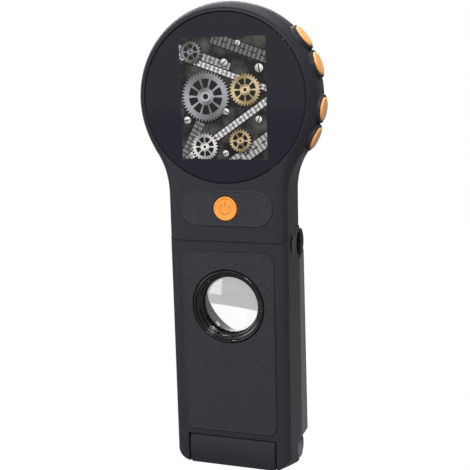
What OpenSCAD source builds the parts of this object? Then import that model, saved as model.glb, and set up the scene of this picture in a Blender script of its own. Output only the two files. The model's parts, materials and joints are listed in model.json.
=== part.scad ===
// Handheld digital microscope with a round screen head, a loupe in the handle and a
// two-hinge folding stand. +X is the reader's right, +Y runs from the screen side to the
// lens side, +Z is up. The origin is on the foot, the flat lower end of the handle.
// Lengths are millimetres. "Depth" is measured back from the front plane of the head,
// and heights inside the modules are measured from the centre of the head.

/* [Head] */
// Outer radius of the round head
head_r = 39; // [37.5:0.5:44]
// Thickness of the head and the upper handle
head_depth = 24; // [23.5:0.5:30]
// Radius of the arc that rounds the rim in front
bezel_arc = 9; // [8:0.25:10]
// Radius of the arc that rounds the rim behind
back_arc = 12; // [10:0.5:12]
// Wall of the housings
wall = 2.1; // [1.6:0.1:2.3]
// Depth of the parting line between the two head housings
parting_depth = 19.5; // [19:0.25:20.5]
// Depth of the front plane of the foot under the head
face_depth = 10; // [6:0.5:14]

/* [Screen] */
// Width of the rim round the black window
rim_w = 4.5; // [4:0.1:6]
// Thickness of the window
glass_t = 1.5; // [1:0.1:1.8]
// How far the window lies below the rim
glass_recess = 0.35; // [0.2:0.05:0.5]
// Gap round the window
glass_gap = 0.25; // [0.1:0.05:0.4]
// Distance from the display module's corners to the outside of the head
lcd_clear = 3.63; // [3.5:0.05:5]
// Width of the lit picture for each millimetre of its height
picture_shape = 0.75; // [0.7:0.01:0.78]
// Dark border of the display module beside the picture
lcd_border = 2.5; // [1.5:0.1:2.8]
// Dark border of the display module above and below the picture
lcd_end_border = 3.9; // [2:0.1:4.2]
// Thickness of the display module
lcd_t = 2.4; // [2:0.1:2.6]
// Thickness of the wall that the window is glued to
ledge_t = 1.5; // [1.2:0.1:1.7]
// Thickness of the frame behind the display
bracket_t = 1.6; // [1.2:0.1:1.8]
// Distance from the edge of the main circuit board to the outside of the head
board_inset = 9.4; // [9:0.1:9.8]
// Thickness of every circuit board
board_t = 1.2; // [0.8:0.1:1.3]
// Air between the display frame and the main board
board_gap = 1.9; // [1.5:0.1:2.2]

/* [Upper handle] */
// Width of the handle
handle_w = 52; // [50:0.5:56]
// Radius of the front edges of the handle
front_edge_r = 3.5; // [2.5:0.25:4.5]
// Radius of the back edges of the handle
back_edge_r = 6; // [4:0.25:6]
// Radius of the hollow curve between head and handle
neck_r = 28; // [20:1:36]
// Length of the handle from the round of the head to the front end of the seam
neck_len = 20.5; // [20:0.5:27]
// Radius of the curved seam, seen from the side
seam_arc = 30; // [28:0.5:34]
// Depth at which the seam is highest
seam_crest = 16.6; // [15:0.2:18]
// Gap along the seam
seam_gap = 0.35; // [0.25:0.05:0.5]
// Distance from the round of the head to the centre of the power button
power_gap = 6; // [5.5:0.25:7.5]
// Radius of the power button
power_r = 5; // [4:0.1:5.4]
// Length of the raised pad round the power button
pad_w = 40.8; // [30:0.2:42]
// Height of the raised pad round the power button
pad_h = 15.1; // [13.5:0.1:15.5]
// How far the raised pads stand proud
pad_proud = 0.45; // [0.3:0.05:0.7]
// How deep the raised pads are let in
pad_sunk = 0.7; // [0.5:0.05:0.9]
// Width of the battery
battery_w = 36; // [30:0.5:37]
// Height of the battery
battery_h = 20; // [16:0.5:20.5]
// Thickness of the battery
battery_t = 7.8; // [5:0.1:8]

/* [Buttons] */
// Radius of the side buttons
button_r = 4.8; // [4:0.1:4.9]
// Gap round every button
button_gap = 0.22; // [0.15:0.01:0.3]
// How far the side buttons stand out of the rim
button_proud = 1.7; // [0.5:0.05:2]
// Depth of the side buttons' centres
button_depth = 9.8; // [9.5:0.1:10.2]
// Angle of the middle of the row of side buttons above +X
button_row = 6.1; // [0:0.5:10]
// Half the angle between the two middle buttons
button_inner = 13.2; // [12:0.2:14.2]
// Half the angle between the two end buttons
button_outer = 30.9; // [30:0.2:34]
// Radius of the flat seat round each side button
seat_r = 7; // [6:0.1:7.4]
// Depth of the flat seats below the rim
seat_sunk = 1.05; // [0.8:0.05:1.1]
// Travel of every button
button_travel = 0.6; // [0.3:0.05:0.6]
// Width of the flange that keeps a button in
flange_lip = 0.7; // [0.4:0.05:0.75]

/* [Column] */
// Height of the column from the foot to the front end of the seam
column_len = 100; // [99:0.5:110]
// How far the column's face stands in front of the head's
column_proud = 0.3; // [0:0.1:0.6]
// Depth of the column's back
column_back_depth = 20.8; // [20.4:0.1:21]
// Thickness of the column's back cover
cover_t = 2.5; // [2:0.1:3]
// Radius of the column's lower corners, seen from the front
corner_r = 9.5; // [7:0.25:10]
// How fast the rounding of the lower corners leaves the column towards its back
corner_fade = 0.2; // [0.15:0.01:0.25]
// Radius of the column's lower front edge, seen from the side
toe_r = 2.6; // [2:0.2:4]
// Width of the raised grip panel
grip_w = 41.2; // [38:0.2:43]
// Distance from the seam to the grip panel
grip_top = 4; // [3:0.25:5]
// Distance from the grip panel to the hinge cover
grip_gap = 2.8; // [2.4:0.1:6]
// Corner radius of the grip panel
grip_corner = 4.2; // [2:0.2:6]
// Width of the hinge cover at the foot
toe_w = 39.6; // [36:0.2:40.5]
// Height of the hinge cover at the foot
toe_h = 13.7; // [12:0.1:14.2]
// Thickness of the hinge cover
toe_t = 4.4; // [3.5:0.1:5]
// Gap round the hinge cover
toe_gap = 0.4; // [0.2:0.02:0.5]
// Radius of the hinge cover's bulging face
toe_bulge = 20; // [16:1:40]
// Radius of the round side plugs
plug_r = 4; // [3:0.1:4.1]
// Depth of the side plugs' centres
plug_depth = 9.5; // [9:0.1:9.6]
// Drop of the side plugs' centres below the seam
plug_drop = 1.4; // [1:0.1:2]
// How far the side plugs stand proud
plug_proud = 0.5; // [0.3:0.05:0.8]

/* [Loupe] */
// Distance from the seam to the centre of the loupe
loupe_drop = 27.5; // [26.5:0.5:36]
// Clear radius of the loupe
loupe_clear_r = 12; // [10:0.1:12.4]
// Outer radius of the loupe's front ring
loupe_ring_r = 15.9; // [15:0.1:17]
// How far the lens edge lies below the ring's face
loupe_sunk = 4.4; // [3.6:0.1:5]
// Radius of the curved faces of the loupe lens
loupe_curve = 37; // [32:1:60]
// Thickness of the loupe lens at its edge
loupe_edge = 2; // [1.5:0.1:2.5]
// Width of the shoulder that holds the lens
lens_seat = 1.2; // [0.8:0.1:1.4]
// Wall of the tube behind the lens
loupe_tube_wall = 1.8; // [1.2:0.1:2]

/* [Hinges] */
// Depth of the axis that the column swings on
swing_depth = 21.2; // [21:0.1:21.4]
// Drop of the column's axis below the seam
swing_drop = 3.1; // [2.9:0.1:3.6]
// Radius of the upper hinge barrels
swing_r = 6.5; // [6:0.1:6.6]
// Half the width of the column's knuckle in the upper hinge
swing_knuckle = 16.2; // [12:0.2:18]
// Depth of the axis that the leg folds on
leg_depth = 18.8; // [18.6:0.1:19.4]
// Radius of the lower hinge barrels
leg_r = 5; // [4.6:0.1:5.2]
// Half the width of the column's knuckle in the lower hinge
leg_knuckle = 7.6; // [6:0.2:12]
// Rim left round the hollow ends of the barrels
barrel_rim = 0.8; // [0.6:0.1:1]
// Depth of the hollow ends of the barrels
barrel_hollow = 3.2; // [2:0.2:4]
// Radius of both hinge pins
pin_r = 1.5; // [1.2:0.1:1.8]
// Running clearance of a pin in a turning barrel
pin_play = 0.05; // [0.02:0.01:0.1]
// Side gap at each washer of the hinges
washer_gap = 0.4; // [0.35:0.05:0.5]
// Clearance round the barrels
barrel_play = 0.4; // [0.35:0.05:0.45]

/* [Leg] */
// Gap between the column's back and the leg
leg_gap = 0.4; // [0.3:0.05:0.5]
// Thickness of the leg at its free end
leg_top_t = 7.9; // [7:0.1:8.2]
// Thickness of the leg at its hinge
leg_end_t = 11.6; // [9:0.1:12]
// How far the leg's free end stays below the upper hinge's axis
leg_shoulder = 3.9; // [3.6:0.1:4.6]
// Radius of the leg's outer side edges
leg_edge_r = 2; // [1.5:0.1:3]
// Radius of the leg's lower corners, seen from the front
leg_corner_r = 5; // [3:0.25:7]
// Radius of the leg's heel, seen from the side
heel_r = 3.6; // [2.5:0.1:4.2]
// Wall of the leg
leg_wall = 2; // [1.6:0.1:2.2]
// Thickness of the stage plate in the leg
stage_t = 1.8; // [1.4:0.1:2]
// Gap round the stage plate
stage_gap = 0.12; // [0.08:0.01:0.2]
// Radius of the sight hole in the leg
leg_hole_r = 14; // [12.5:0.1:16]
// Radius of the rubber feet on the leg
pad_r = 4; // [3:0.1:5]
// How far the rubber feet stand proud
foot_proud = 0.6; // [0.4:0.1:1]

/* [Camera] */
// Outer radius of the camera barrel
barrel_r = 17.5; // [16.5:0.1:18.5]
// Wall of the camera barrel
barrel_wall = 1.6; // [1.2:0.1:1.8]
// Running clearance of the focus ring
focus_play = 0.08; // [0.03:0.01:0.1]
// Outer radius of the focus ring
focus_r = 22; // [21:0.1:24]
// Width of the focus ring
focus_w = 8.6; // [7:0.1:10]
// Height of the collar behind the head
collar_h = 2.2; // [1.5:0.1:3]
// Outer radius of the sliding lens cell
cell_r = 8; // [7:0.1:8.6]
// Length of the sliding lens cell
cell_len = 13.5; // [12:0.1:13.6]
// Travel of the lens cell
cell_travel = 2.4; // [1:0.1:2.5]
// Outer radius of the clear shroud
shroud_r = 15.4; // [14.6:0.1:15.4]
// How far the shroud stands out of the barrel cap
shroud_len = 8; // [5:0.5:12]
// Number of lamps round the lens
lamp_count = 8; // [6:1:10]

/* [Ports] */
// Width of the charging socket
usb_w = 9; // [8:0.1:9.5]
// Height of the charging socket
usb_t = 3.2; // [2.8:0.1:3.2]
// Height of the charging socket's centre above the lowest point of the round head
usb_rise = 2.3; // [1.8:0.1:2.5]
// Width of the card socket
card_w = 12.6; // [11.8:0.1:12.8]
// Thickness of the card socket
card_t = 1.8; // [1.6:0.1:1.9]

/* [Hidden] */
$fn = 96;
skin = 0.02;      // overlap that makes touching shapes one solid
far = 200;        // longer than anything that is cut

glass_r = head_r - rim_w;                 // radius of the black window
seam_drop = head_r + neck_len;            // head centre above the front end of the seam
power_drop = head_r + power_gap;          // head centre above the power button
usb_drop = head_r - usb_rise;             // head centre above the charging socket
head_z = column_len + seam_drop;          // head centre above the foot
foot_z = -head_z;
column_face = -column_proud;
seam_z = -seam_drop;                      // seam at the front, from the head centre
seam_axis_z = seam_z - sqrt(pow(seam_arc, 2) - pow(seam_crest + column_proud, 2));
rim_r = glass_r + glass_gap + 0.15;       // where the rim's front edge begins
bezel_mid = sqrt(pow(bezel_arc, 2) - pow(rim_r - head_r + bezel_arc, 2));
back_mid = head_depth - back_arc;
neck_x = handle_w / 2 + neck_r;
neck_z = -sqrt(pow(head_r + neck_r, 2) - pow(neck_x, 2));
neck_share = head_r / (head_r + neck_r);
swing_z = seam_z - swing_drop;
leg_z = foot_z + leg_r;
loupe_z = seam_z - loupe_drop;
power_z = -power_drop;
pocket_end = glass_recess + glass_t + 0.05;
ledge_end = pocket_end + ledge_t;
// The picture's height comes from the circle that the module's corners lie on
lcd_corner_r = head_r - lcd_clear;
lcd_sum = picture_shape * lcd_border + lcd_end_border;
lcd_shape = (1 + pow(picture_shape, 2)) / 2;
lcd_room = pow(lcd_corner_r, 2) - pow(lcd_border, 2) - pow(lcd_end_border, 2);
picture_h = (sqrt(pow(lcd_sum, 2) + 2 * lcd_shape * lcd_room) - lcd_sum) / lcd_shape;
picture_w = picture_shape * picture_h;
lcd_w = picture_w + 2 * lcd_border;
lcd_h = picture_h + 2 * lcd_end_border;
lcd_end = pocket_end + lcd_t;
bracket_end = lcd_end + 0.1 + bracket_t;
board_depth = bracket_end + board_gap;
board_r = head_r - board_inset;
cavity_floor = seam_axis_z + seam_arc + seam_gap + wall;   // lower end of the head's cavity
inner_w = handle_w - 2 * wall - 0.2;
cover_depth = column_back_depth - cover_t;
leg_in = column_back_depth + leg_gap;
cover_top = swing_z - swing_r - barrel_play - 0.25;
leg_top = swing_z - leg_shoulder;
leg_slope = (leg_end_t - leg_top_t) / (leg_top - leg_z);
lug_out = handle_w / 2 - 0.1;
pin_out = lug_out - barrel_hollow - 0.3;   // where the pins end
toe_top = foot_z + toe_h;
grip_h = column_len - grip_top - grip_gap - toe_h;
button_angles = [button_row + button_outer, button_row + button_inner,
                 button_row - button_inner, button_row - button_outer];
button_face = head_r + button_proud;
flange_r = button_r + flange_lip;
flange_face = head_r - wall - 1.2;
flange_t = 0.8;
stem_end = flange_face - flange_t - 0.6;
switch_top = stem_end - button_travel - 0.1;
switch_t = 1.8;
key_board_r = switch_top - 0.4 - switch_t;
power_face = -pad_proud - 0.5;
power_flange = wall + 0.3;
power_stem = power_flange + flange_t + 0.5;
power_switch = power_stem + button_travel + 0.1;
screw_r = 1;
screw_head_r = 2;
screw_ring = head_r - 7.4;                // circle of the head's screws
screw_angles = [62, 118, 196, 344];
handle_screw_x = inner_w / 2 - 2.4;
handle_screw_z = cavity_floor + 3.2;
focus_start = head_depth + collar_h + 0.3;
focus_end = focus_start + focus_w;
cap_depth = focus_end + 0.25;
cap_t = 1.7;
guide_r = cell_r + 0.05;
guide_wall = 1.7;
cell_start = parting_depth - 1.6;
lamp_board = cell_start + cell_len;
lamp_ring = (guide_r + guide_wall + barrel_r - barrel_wall) / 2 + 0.15;
shroud_start = lamp_board + board_t + 2;
shroud_end = cap_depth + cap_t + shroud_len;
plug_z = seam_z - plug_drop;
loupe_lens_r = loupe_clear_r + lens_seat;
lens_front = column_face - pad_proud + loupe_sunk + 0.5;   // front of the loupe lens's edge
loupe_shoulder = lens_front + loupe_edge;

// ---- helpers: a piece of the drawing laid along one axis ----

// Everything is drawn from the head centre and put on the foot here
module place() translate([0, -face_depth, head_z]) children();

// Turns an outline of radius and depth about the head's axis
module turned() rotate([-90, 0, 0]) rotate_extrude() children();

// A disc about an axis that runs front to back
module disc(r, d0, d1, x = 0, z = 0)
    translate([x, d0, z]) rotate([-90, 0, 0]) cylinder(h = d1 - d0, r = r);

// A rod about an axis that runs across
module rod(r, x0, x1, d, z) translate([x0, d, z]) rotate([0, 90, 0]) cylinder(h = x1 - x0, r = r);

// A box from one corner to the other
module block(a, b) translate(a) cube(b - a);

// A front view outline given thickness between two depths
module plate(d0, d1) translate([0, d1, 0]) rotate([90, 0, 0]) linear_extrude(d1 - d0) children();

// A side view outline given width from x0 to x1
module slab(x0, x1) translate([x0, 0, 0]) rotate([90, 0, 90]) linear_extrude(x1 - x0) children();

// A pair of the same piece on both sides
module both_sides() {
    children();
    mirror([1, 0, 0]) children();
}

// A rectangle with round corners, about its centre
module round_rect(w, h, r) {
    square([w - 2 * r, h], center = true);
    square([w, h - 2 * r], center = true);
    for (i = [-1, 1], j = [-1, 1]) translate([i * (w / 2 - r), j * (h / 2 - r)]) circle(r);
}

// Half outline of a lens with two bulging faces between depths d0 and d1
module lens_profile(r, d0, d1, curve) intersection() {
    translate([0, d0]) square([r, d1 - d0]);
    translate([0, d0 + curve]) circle(curve, $fn = 720);
    translate([0, d1 - curve]) circle(curve, $fn = 720);
}

// ---- the shared outer forms ----

// Half outline of the head from its axis to its rim, smaller by inset
module rim_profile(inset, front, back) {
    r = head_r - inset;
    arc_f = bezel_arc - inset;
    arc_b = back_arc - inset;
    intersection() {
        union() {
            square([head_r - bezel_arc, bezel_mid + skin]);
            translate([head_r - bezel_arc, bezel_mid]) circle(arc_f);
            translate([0, bezel_mid]) square([r, back_mid - bezel_mid]);
            translate([head_r - back_arc, back_mid]) circle(arc_b);
            translate([0, back_mid - skin]) square([head_r - back_arc, head_depth - back_mid]);
        }
        translate([0, front]) square([head_r, back - front]);
    }
}

// Section of the handle: width w, from depth d0 to d1
module handle_section(w, d0, d1, rf, rb) {
    translate([-w / 2, d0 + rf]) square([w, d1 - d0 - rf - rb]);
    translate([rf - w / 2, d0]) square([w - 2 * rf, rf + skin]);
    translate([rb - w / 2, d1 - rb - skin]) square([w - 2 * rb, rb + skin]);
    for (i = [-1, 1]) {
        translate([i * (w / 2 - rf), d0 + rf]) circle(rf);
        translate([i * (w / 2 - rb), d1 - rb]) circle(rb);
    }
}

// The tool that hollows the neck on one side and rounds its edges
module neck_cutter() translate([neck_x, 0, neck_z]) turned() {
    translate([0, -1]) square([neck_r, head_depth + 2]);
    difference() {
        translate([0, -1]) square([neck_r + front_edge_r, front_edge_r + 1]);
        translate([neck_r + front_edge_r, front_edge_r]) circle(front_edge_r);
    }
    difference() {
        translate([0, head_depth - back_edge_r]) square([neck_r + back_edge_r, back_edge_r + 1]);
        translate([neck_r + back_edge_r, head_depth - back_edge_r]) circle(back_edge_r);
    }
}

// The head and the upper handle as one solid form
module body_form() {
    turned() rim_profile(0, 0, head_depth);
    difference() {
        translate([0, 0, seam_z - 2]) linear_extrude(seam_drop)
            handle_section(handle_w, 0, head_depth, front_edge_r, back_edge_r);
        rod(seam_arc + seam_gap, -far, far, seam_crest, seam_axis_z);
    }
    difference() {
        plate(0, head_depth) polygon([
            [-neck_x * neck_share, neck_z * neck_share], [0, 0],
            [neck_x * neck_share, neck_z * neck_share],
            [handle_w / 2, neck_z], [-handle_w / 2, neck_z]]);
        both_sides() neck_cutter();
    }
}

// The room inside the head and the upper handle
module body_room() {
    turned() rim_profile(wall, ledge_end, head_depth - wall);
    translate([0, 0, cavity_floor]) linear_extrude(-cavity_floor)
        handle_section(inner_w, wall, head_depth - wall, front_edge_r - wall, back_edge_r - wall);
}

// The column's outer form, foot and seam end included
module column_form() difference() {
    intersection() {
        translate([0, 0, foot_z]) linear_extrude(column_len + seam_arc)
            handle_section(handle_w, column_face, column_back_depth, front_edge_r, 0.6);
        union() {
            rod(seam_arc, -far, far, seam_crest, seam_axis_z);
            block([-far, -far, foot_z], [far, far, seam_axis_z]);
        }
        slab(-far, far) union() {
            translate([column_face + toe_r, foot_z]) square([far, far]);
            translate([column_face, foot_z + toe_r]) square([far, far]);
            translate([column_face + toe_r, foot_z + toe_r]) circle(toe_r);
        }
    }
    both_sides() foot_corner_cutter();
}

// Takes off a lower corner of the column: a round cut that runs out of the side towards the back
module foot_corner_cutter() {
    lean = atan(sqrt(2) * corner_fade);
    translate([handle_w / 2 - corner_r, 0, foot_z + corner_r]) rotate([0, 45, 0])
        rotate([0, 0, -lean]) plate(-8, column_back_depth) difference() {
            square([4 * corner_r, 4 * corner_r], center = true);
            circle(corner_r * (1 + cos(lean)) / 2);
            for (s = [-1, 1]) rotate(-45 + s * 90) square([far, far]);
            rotate(135) square([far, far]);
        }
}

// Front view of the leg with its round lower corners
module leg_outline() {
    low = leg_z + 0.1;
    translate([0, low + leg_corner_r + far / 2]) square([handle_w, far], center = true);
    translate([leg_corner_r - handle_w / 2, low])
        square([handle_w - 2 * leg_corner_r, leg_corner_r + skin]);
    for (i = [-1, 1]) translate([i * (handle_w / 2 - leg_corner_r), low + leg_corner_r]) circle(leg_corner_r);
}

// ---- head and upper handle ----

// Turns the children to the place of a side button, whose axis then runs along +X
module at_button(i) rotate([0, -button_angles[i], 0]) translate([0, button_depth, 0]) children();

// A post that takes a screw, joined to the housing wall on its +X side
module screw_post(len, reach) translate([0, parting_depth - 0.1 - len, 0]) difference() {
    union() {
        disc(2.5, 0, len);
        block([0, 0, -0.8], [reach, len, 0.8]);
    }
    disc(screw_r - 0.1, 1.5, len + 1);
}

module at_screws() {
    for (a = screw_angles) rotate([0, -a, 0]) translate([screw_ring, 0, 0]) children();
}

module at_handle_screws() for (i = [0, 1]) mirror([i, 0, 0])
    translate([handle_screw_x, 0, handle_screw_z]) children();

module front_shell() color("#2b2c31") {
    difference() {
        intersection() {
            body_form();
            block([-far, -far, -far], [far, parting_depth, far]);
        }
        body_room();
        disc(glass_r + glass_gap, -1, pocket_end);
        block([-lcd_w / 2 - 0.2, pocket_end, -lcd_h / 2 - 0.2],
              [lcd_w / 2 + 0.2, far / 4, lcd_h / 2 + 0.2]);
        for (i = [0:3]) at_button(i) {
            rod(button_r + button_gap, head_r - 8, far, 0, 0);
            rod(seat_r, head_r - seat_sunk, far, 0, 0);
        }
        translate([0, 0, power_z]) {
            plate(-1, pad_sunk) round_rect(pad_w + 0.2, pad_h + 0.2, pad_h / 2);
            disc(power_r + button_gap, -1, far / 4);
        }
        port_holes();
    }
    for (a = screw_angles) rotate([0, -a, 0]) translate([screw_ring, 0, 0])
        screw_post(5.2, head_r - wall + 0.4 - screw_ring);
    at_handle_screws() screw_post(8.4, handle_w / 2 - wall + 0.4 - handle_screw_x);
}

// Openings for the charging socket and the memory card in the left side
module port_holes() {
    usb_depth = power_switch + 1.6 + board_t - 0.2 - usb_t;
    block([-far, port_front - usb_t - 0.2, -usb_drop - usb_w / 2 - 0.2],
          [-inner_w / 2 + 3, port_front + 0.2, -usb_drop + usb_w / 2 + 0.2]);
    block([-far, port_front + board_t + 0.3, card_z - 5.7],
          [-inner_w / 2 + 3, port_front + board_t + 1.3, card_z + 5.7]);
}

port_front = bracket_end + 1.2;           // front face of the port board
card_z = cavity_floor + 0.8 + card_w / 2;

module rear_shell() color("#26272b") {
    difference() {
        union() {
            intersection() {
                body_form();
                block([-far, parting_depth, -far], [far, far, far]);
            }
            turned() polygon([[barrel_r, head_depth - 1], [focus_r + 3.4, head_depth - 1],
                [focus_r + 3.4, head_depth], [focus_r + 1.2, head_depth + collar_h],
                [barrel_r, head_depth + collar_h]]);
        }
        body_room();
        disc(barrel_r + 0.05, 0, far);
        at_screws() {
            disc(screw_r + 0.15, 0, far);
            disc(screw_head_r + 0.2, screw_seat, far);
        }
        at_handle_screws() {
            disc(screw_r + 0.15, 0, far);
            disc(screw_head_r + 0.2, screw_seat, far);
        }
    }
    both_sides() difference() {
        union() {
            rod(swing_r, swing_knuckle + washer_gap, lug_out, swing_depth, swing_z);
            intersection() {
                block([swing_knuckle + washer_gap, swing_depth, swing_z],
                      [lug_out, head_depth, cavity_floor]);
                translate([0, 0, swing_z]) linear_extrude(seam_drop)
                    handle_section(handle_w, 0, head_depth, front_edge_r, back_edge_r);
            }
        }
        rod(pin_r, 0, far, swing_depth, swing_z);
        intersection() {
            rod(swing_r - barrel_rim, lug_out - barrel_hollow, far, swing_depth, swing_z);
            block([0, 0, -far], [far, swing_depth + 0.6, far]);
        }
    }
}

screw_seat = parting_depth + 1.3;

module screen_glass() color("#101114") disc(glass_r, glass_recess, glass_recess + glass_t);

module lcd_panel() color("#8f949c")
    block([-lcd_w / 2, pocket_end, -lcd_h / 2], [lcd_w / 2, lcd_end, lcd_h / 2]);

module lcd_bracket() color("#4a4c52") difference() {
    disc(flange_face - flange_t - button_travel - 0.1, lcd_end + 0.1, bracket_end);
    plate(0, far / 4) round_rect(lcd_w - 14, lcd_h - 20, 3);
}

module main_board() color("#1f5b3a") difference() {
    disc(board_r, board_depth, board_depth + board_t);
    for (a = [45:90:315]) rotate([0, -a, 0]) disc(1.2, 0, far / 4, board_r - 3.5);
    disc(3.5, 0, far / 4, 0, -board_r);
}

// Chips are laid out on the board in shares of its radius
module chip(x, z, w, h, t) {
    back = board_depth + board_t;
    block([x * board_r, back, z * board_r], [(x + w) * board_r, back + t, (z + h) * board_r]);
}

module board_chips() color("#17181b") {
    chip(-0.61, 0.14, 0.41, 0.41, 1.2);
    chip(0.27, 0.2, 0.3, 0.27, 1);
    chip(-0.68, -0.47, 0.27, 0.34, 1);
    chip(0.41, -0.47, 0.27, 0.27, 1.4);
    chip(-0.14, -0.81, 0.41, 0.2, 2.2);
    for (i = [0:5]) chip(-0.3 + i * 0.115, 0.64, 0.054, 0.034, 0.8);
}

module battery_pack() color("#b9bcc2") {
    top = cavity_floor + 0.6 + battery_h;
    plate(parting_depth - 1 - battery_t, parting_depth - 1) translate([0, top - battery_h / 2])
        round_rect(battery_w, battery_h, 1.5);
}

// Strip with the four key switches behind the side buttons
module side_key_board() color("#1f5b3a") difference() {
    disc(key_board_r, button_depth - 3.4, button_depth + 3.4);
    disc(key_board_r - board_t, 0, far / 4);
    for (s = [-1, 1]) rotate([0, -button_row - s * (button_outer + 6), 0])
        block([-far, -1, s < 0 ? -far : 0], [far, far, s < 0 ? 0 : far]);
    block([-far, -1, -far], [0, far, far]);
}

module side_switches() color("#c9ccd1") for (i = [0:3]) at_button(i) {
    block([key_board_r + 0.05, -2.2, -2.2], [key_board_r + switch_t, 2.2, 2.2]);
    rod(1.1, key_board_r + switch_t - skin, switch_top, 0, 0);
}

// Round cap, retaining flange and stem of a side button
module side_button(i) color("#f58a1f") at_button(i) {
    rod(button_r, flange_face - skin, button_face - 0.5, 0, 0);
    translate([button_face - 0.5 - skin, 0, 0]) rotate([0, 90, 0])
        cylinder(h = 0.5 + skin, r1 = button_r, r2 = button_r - 0.6);
    intersection() {
        rod(flange_r, flange_face - flange_t, flange_face, 0, 0);
        block([0, -far, -button_r - 0.2], [far, far, button_r + 0.2]);
    }
    rod(1.6, stem_end, flange_face - flange_t + skin, 0, 0);
}

module button_pad() color("#303238") translate([0, 0, power_z]) difference() {
    plate(-pad_proud, pad_sunk) round_rect(pad_w, pad_h, pad_h / 2 - 0.05);
    disc(power_r + button_gap, -2, 2);
}

module power_button() color("#f58a1f") translate([0, 0, power_z]) {
    disc(power_r, power_face + 0.3, power_flange + skin);
    translate([0, power_face, 0]) rotate([-90, 0, 0])
        cylinder(h = 0.3 + skin, r1 = power_r - 0.4, r2 = power_r);
    disc(power_r + flange_lip, power_flange, power_flange + flange_t);
    disc(1.6, power_flange + flange_t - skin, power_stem);
    power_mark();
}

// The raised on-off mark: a broken ring and a short bar
module power_mark() {
    mark_r = power_r * 0.46;
    plate(power_face - 0.15, power_face + skin) {
        difference() {
            circle(mark_r);
            circle(mark_r - 0.45);
            translate([-0.7, 0]) square([1.4, power_r]);
        }
        translate([-0.24, mark_r * 0.2]) square([0.48, mark_r]);
    }
}

module power_board() {
    color("#1f5b3a") block([-8.5, power_switch + 2, power_z - 5.5],
                           [8.5, power_switch + 2 + board_t, power_z + 5.5]);
    color("#c9ccd1") translate([0, 0, power_z]) {
        block([-2.4, power_switch + 0.4, -2.4], [2.4, power_switch + 2 - 0.01, 2.4]);
        disc(1.1, power_switch, power_switch + 0.4 + skin);
    }
}

module port_board() color("#1f5b3a")
    block([-inner_w / 2 + 0.3, port_front, cavity_floor + 0.4],
          [-10.5, port_front + board_t, -usb_drop + usb_w / 2 + 1.2]);

module usb_socket() color("#c4c7cc") difference() {
    block([-handle_w / 2 + 0.4, port_front - usb_t, -usb_drop - usb_w / 2],
          [-handle_w / 2 + 7.8, port_front - 0.01, -usb_drop + usb_w / 2]);
    block([-far, port_front - usb_t + 0.35, -usb_drop - usb_w / 2 + 0.35],
          [-handle_w / 2 + 6.4, port_front - 0.36, -usb_drop + usb_w / 2 - 0.35]);
}

module card_socket() color("#c4c7cc") difference() {
    block([-inner_w / 2 + 0.3, port_front + board_t + 0.01, card_z - card_w / 2],
          [-10.5, port_front + board_t + card_t, card_z + card_w / 2]);
    block([-far, port_front + board_t + 0.35, card_z - 5.6],
          [-13, port_front + board_t + card_t - 0.4, card_z + 5.6]);
}

module housing_screw(post_len) {
    disc(screw_r - 0.1, parting_depth - post_len + 2, screw_seat + skin);
    difference() {
        disc(screw_head_r, screw_seat, screw_seat + 1.3);
        for (a = [0, 90]) rotate([0, a, 0])
            block([-1.3, screw_seat + 0.6, -0.22], [1.3, screw_seat + 2, 0.22]);
    }
}

module shell_screws() color("#55585e") {
    at_screws() housing_screw(5.2);
    at_handle_screws() housing_screw(8.4);
}

// ---- camera ----

module sensor_board() {
    front = cell_start - 2.6;
    color("#1f5b3a") block([-11, front, -11], [11, front + board_t, 11]);
    color("#2d3540") block([-3.6, front + board_t + 0.005, -3], [3.6, front + board_t + 0.9, 3]);
}

// Outer tube with an inside flange and a guide for the lens cell
module camera_barrel() color("#1d1e21") turned() polygon([
    [guide_r, parting_depth + 0.2], [barrel_r + 2, parting_depth + 0.2],
    [barrel_r + 2, head_depth - wall - 0.1], [barrel_r, head_depth - wall - 0.1],
    [barrel_r, cap_depth], [barrel_r - barrel_wall, cap_depth],
    [barrel_r - barrel_wall, parting_depth + 1.8], [guide_r + guide_wall, parting_depth + 1.8],
    [guide_r + guide_wall, lamp_board - 0.05], [guide_r, lamp_board - 0.05]]);

module focus_ring() color("#3a3c42") difference() {
    turned() polygon([
        [barrel_r + focus_play, focus_start], [focus_r - 0.6, focus_start],
        [focus_r, focus_start + 0.6], [focus_r, focus_end - 0.6], [focus_r - 0.6, focus_end],
        [barrel_r + focus_play, focus_end]]);
    for (a = [0:10:350]) rotate([0, a, 0]) disc(0.75, focus_start + 1.4, focus_end - 1.4, focus_r + 0.25);
}

module barrel_cap() color("#1d1e21") turned() polygon([
    [shroud_r, cap_depth], [barrel_r + 1.6, cap_depth], [barrel_r + 1.6, cap_depth + cap_t - 0.5],
    [barrel_r + 1.1, cap_depth + cap_t], [shroud_r, cap_depth + cap_t]]);

module lens_cell() color("#222327") difference() {
    disc(cell_r, cell_start, cell_start + cell_len);
    disc(cell_r - 2.4, cell_start - 1, far);
    disc(cell_r - 1.3, cell_start + cell_len - 3.4, far);
}

module objective_lens() color([0.75, 0.85, 0.9, 0.5])
    turned() lens_profile(cell_r - 1.3, lamp_board - 3.3, lamp_board - 0.5, 14);

module led_board() color("#e9ebe8") difference() {
    disc(barrel_r - barrel_wall - 0.05, lamp_board, lamp_board + board_t);
    disc(cell_r + 0.6, 0, far);
}

module lamps() color("#f6f3d6") for (i = [0:lamp_count - 1]) rotate([0, i * 360 / lamp_count, 0])
    disc(1.4, lamp_board + board_t + 0.005, lamp_board + board_t + 1.7, lamp_ring);

module light_shroud() color([0.86, 0.9, 0.93, 0.4]) difference() {
    disc(shroud_r - 0.02, shroud_start, shroud_end);
    disc(shroud_r - 1.4, 0, far);
}

// ---- upper hinge ----

module swing_pin() color("#a9adb3") rod(pin_r, -pin_out, pin_out, swing_depth, swing_z);

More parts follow.
